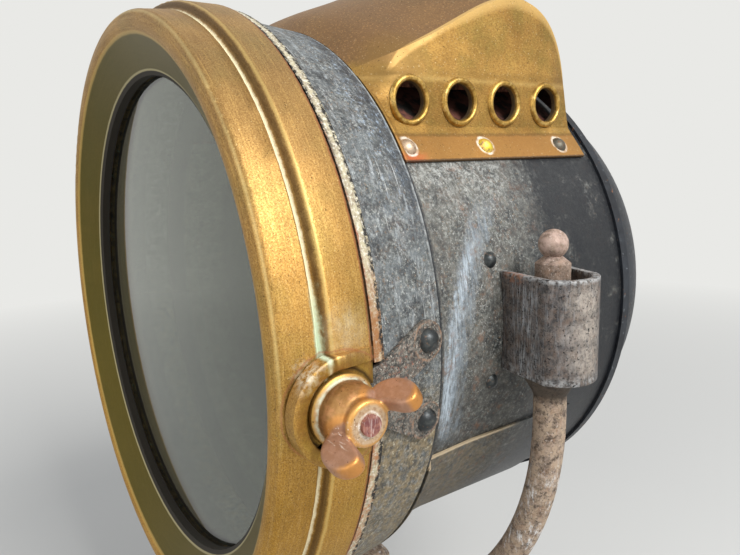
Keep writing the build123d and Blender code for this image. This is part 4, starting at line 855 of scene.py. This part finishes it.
# Cast and turned brass that nobody rubs: evenly brown, with dark stains and a green bloom
lampBrassLook = {"colour": "B98F4A", "rough": 0.42, "metal": 0.9, "layers": [
    wear("7E6030", size=6, soft=0.12, detail=5),
    wear("55442A", 0.8, 0.6, size=2, cut=0.6, soft=0.06, seed=3),
    wear("7FA088", 1, 0.8, 0.1, size=3, cut=0.66, soft=0.03, seed=5),
    wear(rough=0.58, rise=0.015, size=0.6, soft=0.2, seed=7),
]}

# Mirror: silvered glass with brown foxing at its edge, its faint green tint a painted reflection
mirrorLook = {"colour": "C6CDB8", "rough": 0.05, "metal": 1, "layers": [
    wear("8A7E6A", 0.8, 0.4, 0.6, size=6, cut=0.54, soft=0.16, detail=8, radius=(66, None, 8, 10)),
    wear(rough=0.12, size=20, soft=0.2, seed=3),
]}

hood.data.materials[0] = makeFinish("agedSheetBrass", hoodLook)
hood.data.materials[1] = makeFinish("sootyBrass", sootLook)
for name, look, *coated in (
        ("agedSpunBrass", bezelLook, bezel),
        ("rolledBrassRims", eyeletFinish, eyelets),
        ("castBronzeWorn", nutFinish, wingNut),
        ("studEndScratched", studFinish, nodes["latch_stud"]),
        ("skirtEnamelWorn", skirtLook, nodes["skirt"]),
        ("drumEnamelWorn", drumLook, nodes["drum"]),
        ("bellySheetWorn", bellyLook, nodes["belly_sheet"]),
        ("blackEnamel", capLook, nodes["back_cap"], nodes["body_hinge_leaf"]),
        ("rimChalkAndRust", rimLook, nodes["front_rim"]),
        ("rustedIron", ironLook, nodes["fork"], collars),
        ("forgedFinial", finialLook, nodes["finial_right"], nodes["finial_left"]),
        ("socketIronWorn", socketLook, *sockets),
        ("plateSteelWorn", plateLook, latchPlate),
        ("rivetSteel", darkSteelLook, nodes["latch_rivets"], nodes["socket_rivets"], nodes["hinge_pin"]),
        ("rivetBrass", hoodRivetLook, nodes["hood_rivets"]),
        ("rustedBaffleSheet", bafflesLook, nodes["chimney_baffle"]),
        ("lampBrass", lampBrassLook, nodes["burner"], nodes["gas_cock"], nodes["mirror_ring"],
         nodes["glass_ring"], nodes["door_hinge_leaf"]),
        ("silveredMirror", mirrorLook, nodes["mirror"])):
    paint(makeFinish(name, look), *coated)

# Glass: old rolled plate with a film of dust that dulls it in patches; its faint green is partly a painted
# reflection
glassLook = {"colour": "CBD6C0", "ior": 1.52, "rough": 0.02, "film": 0.05, "filmSize": 30.0,
             "filmDetail": 6.0, "filmFrom": 0.3, "filmTo": 0.8}
glassMat = bpy.data.materials.new("oldPlateGlass")
glassMat.use_nodes = True
glassShader = glassMat.node_tree.nodes["Principled BSDF"]
glassShader.inputs["Base Color"].default_value = linear(glassLook["colour"])
glassShader.inputs["Transmission Weight"].default_value = 1.0
glassShader.inputs["IOR"].default_value = glassLook["ior"]
film = addNode(glassMat, "TexNoise", {"Vector": measure(glassMat)["place"],
                                      "Scale": 1 / glassLook["filmSize"],
                                      "Detail": glassLook["filmDetail"]})
filmRough = addNode(glassMat, "MapRange", {
    "Value": film, "From Min": glassLook["filmFrom"], "From Max": glassLook["filmTo"],
    "To Min": glassLook["rough"], "To Max": glassLook["film"]})
glassMat.node_tree.links.new(filmRough, glassShader.inputs["Roughness"])
paint(glassMat, nodes["glass"])
print("finishes done:", len(bpy.data.materials), "materials")

# Stage: a pale floor that runs into the pale background far from the lamp, soft lights from the photograph's
# side, and the camera. The background is seen by the camera, in gloss and through glass, and lights nothing
stageLook = {"size": 12.0, "floor": "CAC9C5", "floorRough": 0.9, "fadeFrom": 0.35, "fadeTo": 1.3,
             "back": "E9E9E6", "sky": "E6EAF0", "skyLevel": 0.66,
             "centre": (0.05, -0.04, 0.2), "distance": 1.3,
             "key": 21.0, "keySize": 0.6, "keyWay": (0.77, 0.1, 0.65),
             "fill": 6.0, "fillSize": 1.2, "fillWay": (0.25, -1.0, 0.35)}


def seenRays(mat):
    # 1 for the rays that show the background: camera, glossy and transmission rays
    path = addNode(mat, "LightPath", out=None)
    seen = addNode(mat, "Math", {0: path["Is Camera Ray"], 1: path["Is Glossy Ray"]}, operation="MAXIMUM")
    return addNode(mat, "Math", {0: seen, 1: path["Is Transmission Ray"]}, operation="MAXIMUM")


bpy.ops.object.select_all(action="DESELECT")
bpy.ops.mesh.primitive_plane_add(size=stageLook["size"], location=(0, 0, cadBox[0][2]))
floor = bpy.context.object
floor.name = "floor"
floorMat = bpy.data.materials.new("paleFloor")
floorMat.use_nodes = True
floorShader = floorMat.node_tree.nodes["Principled BSDF"]
floorShader.inputs["Base Color"].default_value = linear(stageLook["floor"])
floorShader.inputs["Roughness"].default_value = stageLook["floorRough"]
floorPlace = addNode(floorMat, "TexCoord", out="Object")
floorReach = addNode(floorMat, "VectorMath", {0: floorPlace}, out="Value", operation="LENGTH")
floorFade = addNode(floorMat, "MapRange", {"Value": floorReach, "From Min": stageLook["fadeFrom"],
                                           "From Max": stageLook["fadeTo"]})
floorFade = addNode(floorMat, "Math", {0: floorFade, 1: seenRays(floorMat)}, operation="MULTIPLY")
floorBack = addNode(floorMat, "Emission", {"Color": linear(stageLook["back"]), "Strength": 1.0})
floorMix = addNode(floorMat, "MixShader", {0: floorFade, 1: floorShader.outputs[0], 2: floorBack})
floorMat.node_tree.links.new(floorMix, floorMat.node_tree.nodes["Material Output"].inputs["Surface"])
paint(floorMat, floor)

world = bpy.context.scene.world or bpy.data.worlds.new("world")
bpy.context.scene.world = world
world.use_nodes = True
sky = world.node_tree.nodes["Background"]
sky.inputs["Color"].default_value = linear(stageLook["sky"])
sky.inputs["Strength"].default_value = stageLook["skyLevel"]
back = addNode(world, "Background", {"Color": linear(stageLook["back"]), "Strength": 1.0})
chosen = addNode(world, "MixShader", {0: seenRays(world), 1: sky.outputs[0], 2: back})
world.node_tree.links.new(chosen, world.node_tree.nodes["World Output"].inputs["Surface"])

for name in ("key", "fill"):
    way = Vector(stageLook[name + "Way"]).normalized()
    light = bpy.data.lights.new(name, "AREA")
    light.energy = stageLook[name]
    light.size = stageLook[name + "Size"]
    lamp = bpy.data.objects.new(name, light)
    lamp.location = Vector(stageLook["centre"]) + way * stageLook["distance"]
    lamp.rotation_euler = way.to_track_quat("Z", "Y").to_euler()
    bpy.context.scene.collection.objects.link(lamp)

cameraLook = {"place": (0.2732, -0.185, 0.2704), "lens": 31.83, "yaw": 54.93, "pitch": 10.32, "roll": -1.61,
              "nearest": 0.01}
camera = bpy.data.objects.new("camera", bpy.data.cameras.new("camera"))
camera.data.lens = cameraLook["lens"]
camera.data.clip_start = cameraLook["nearest"]
turn = (Matrix.Rotation(math.radians(cameraLook["yaw"]), 4, "Z")
        @ Matrix.Rotation(math.radians(90 - cameraLook["pitch"]), 4, "X")
        @ Matrix.Rotation(math.radians(cameraLook["roll"]), 4, "Z"))
camera.matrix_world = Matrix.Translation(cameraLook["place"]) @ turn
bpy.context.scene.collection.objects.link(camera)
bpy.context.scene.camera = camera
bpy.context.scene.view_settings.view_transform = "Standard"
print("stage done")
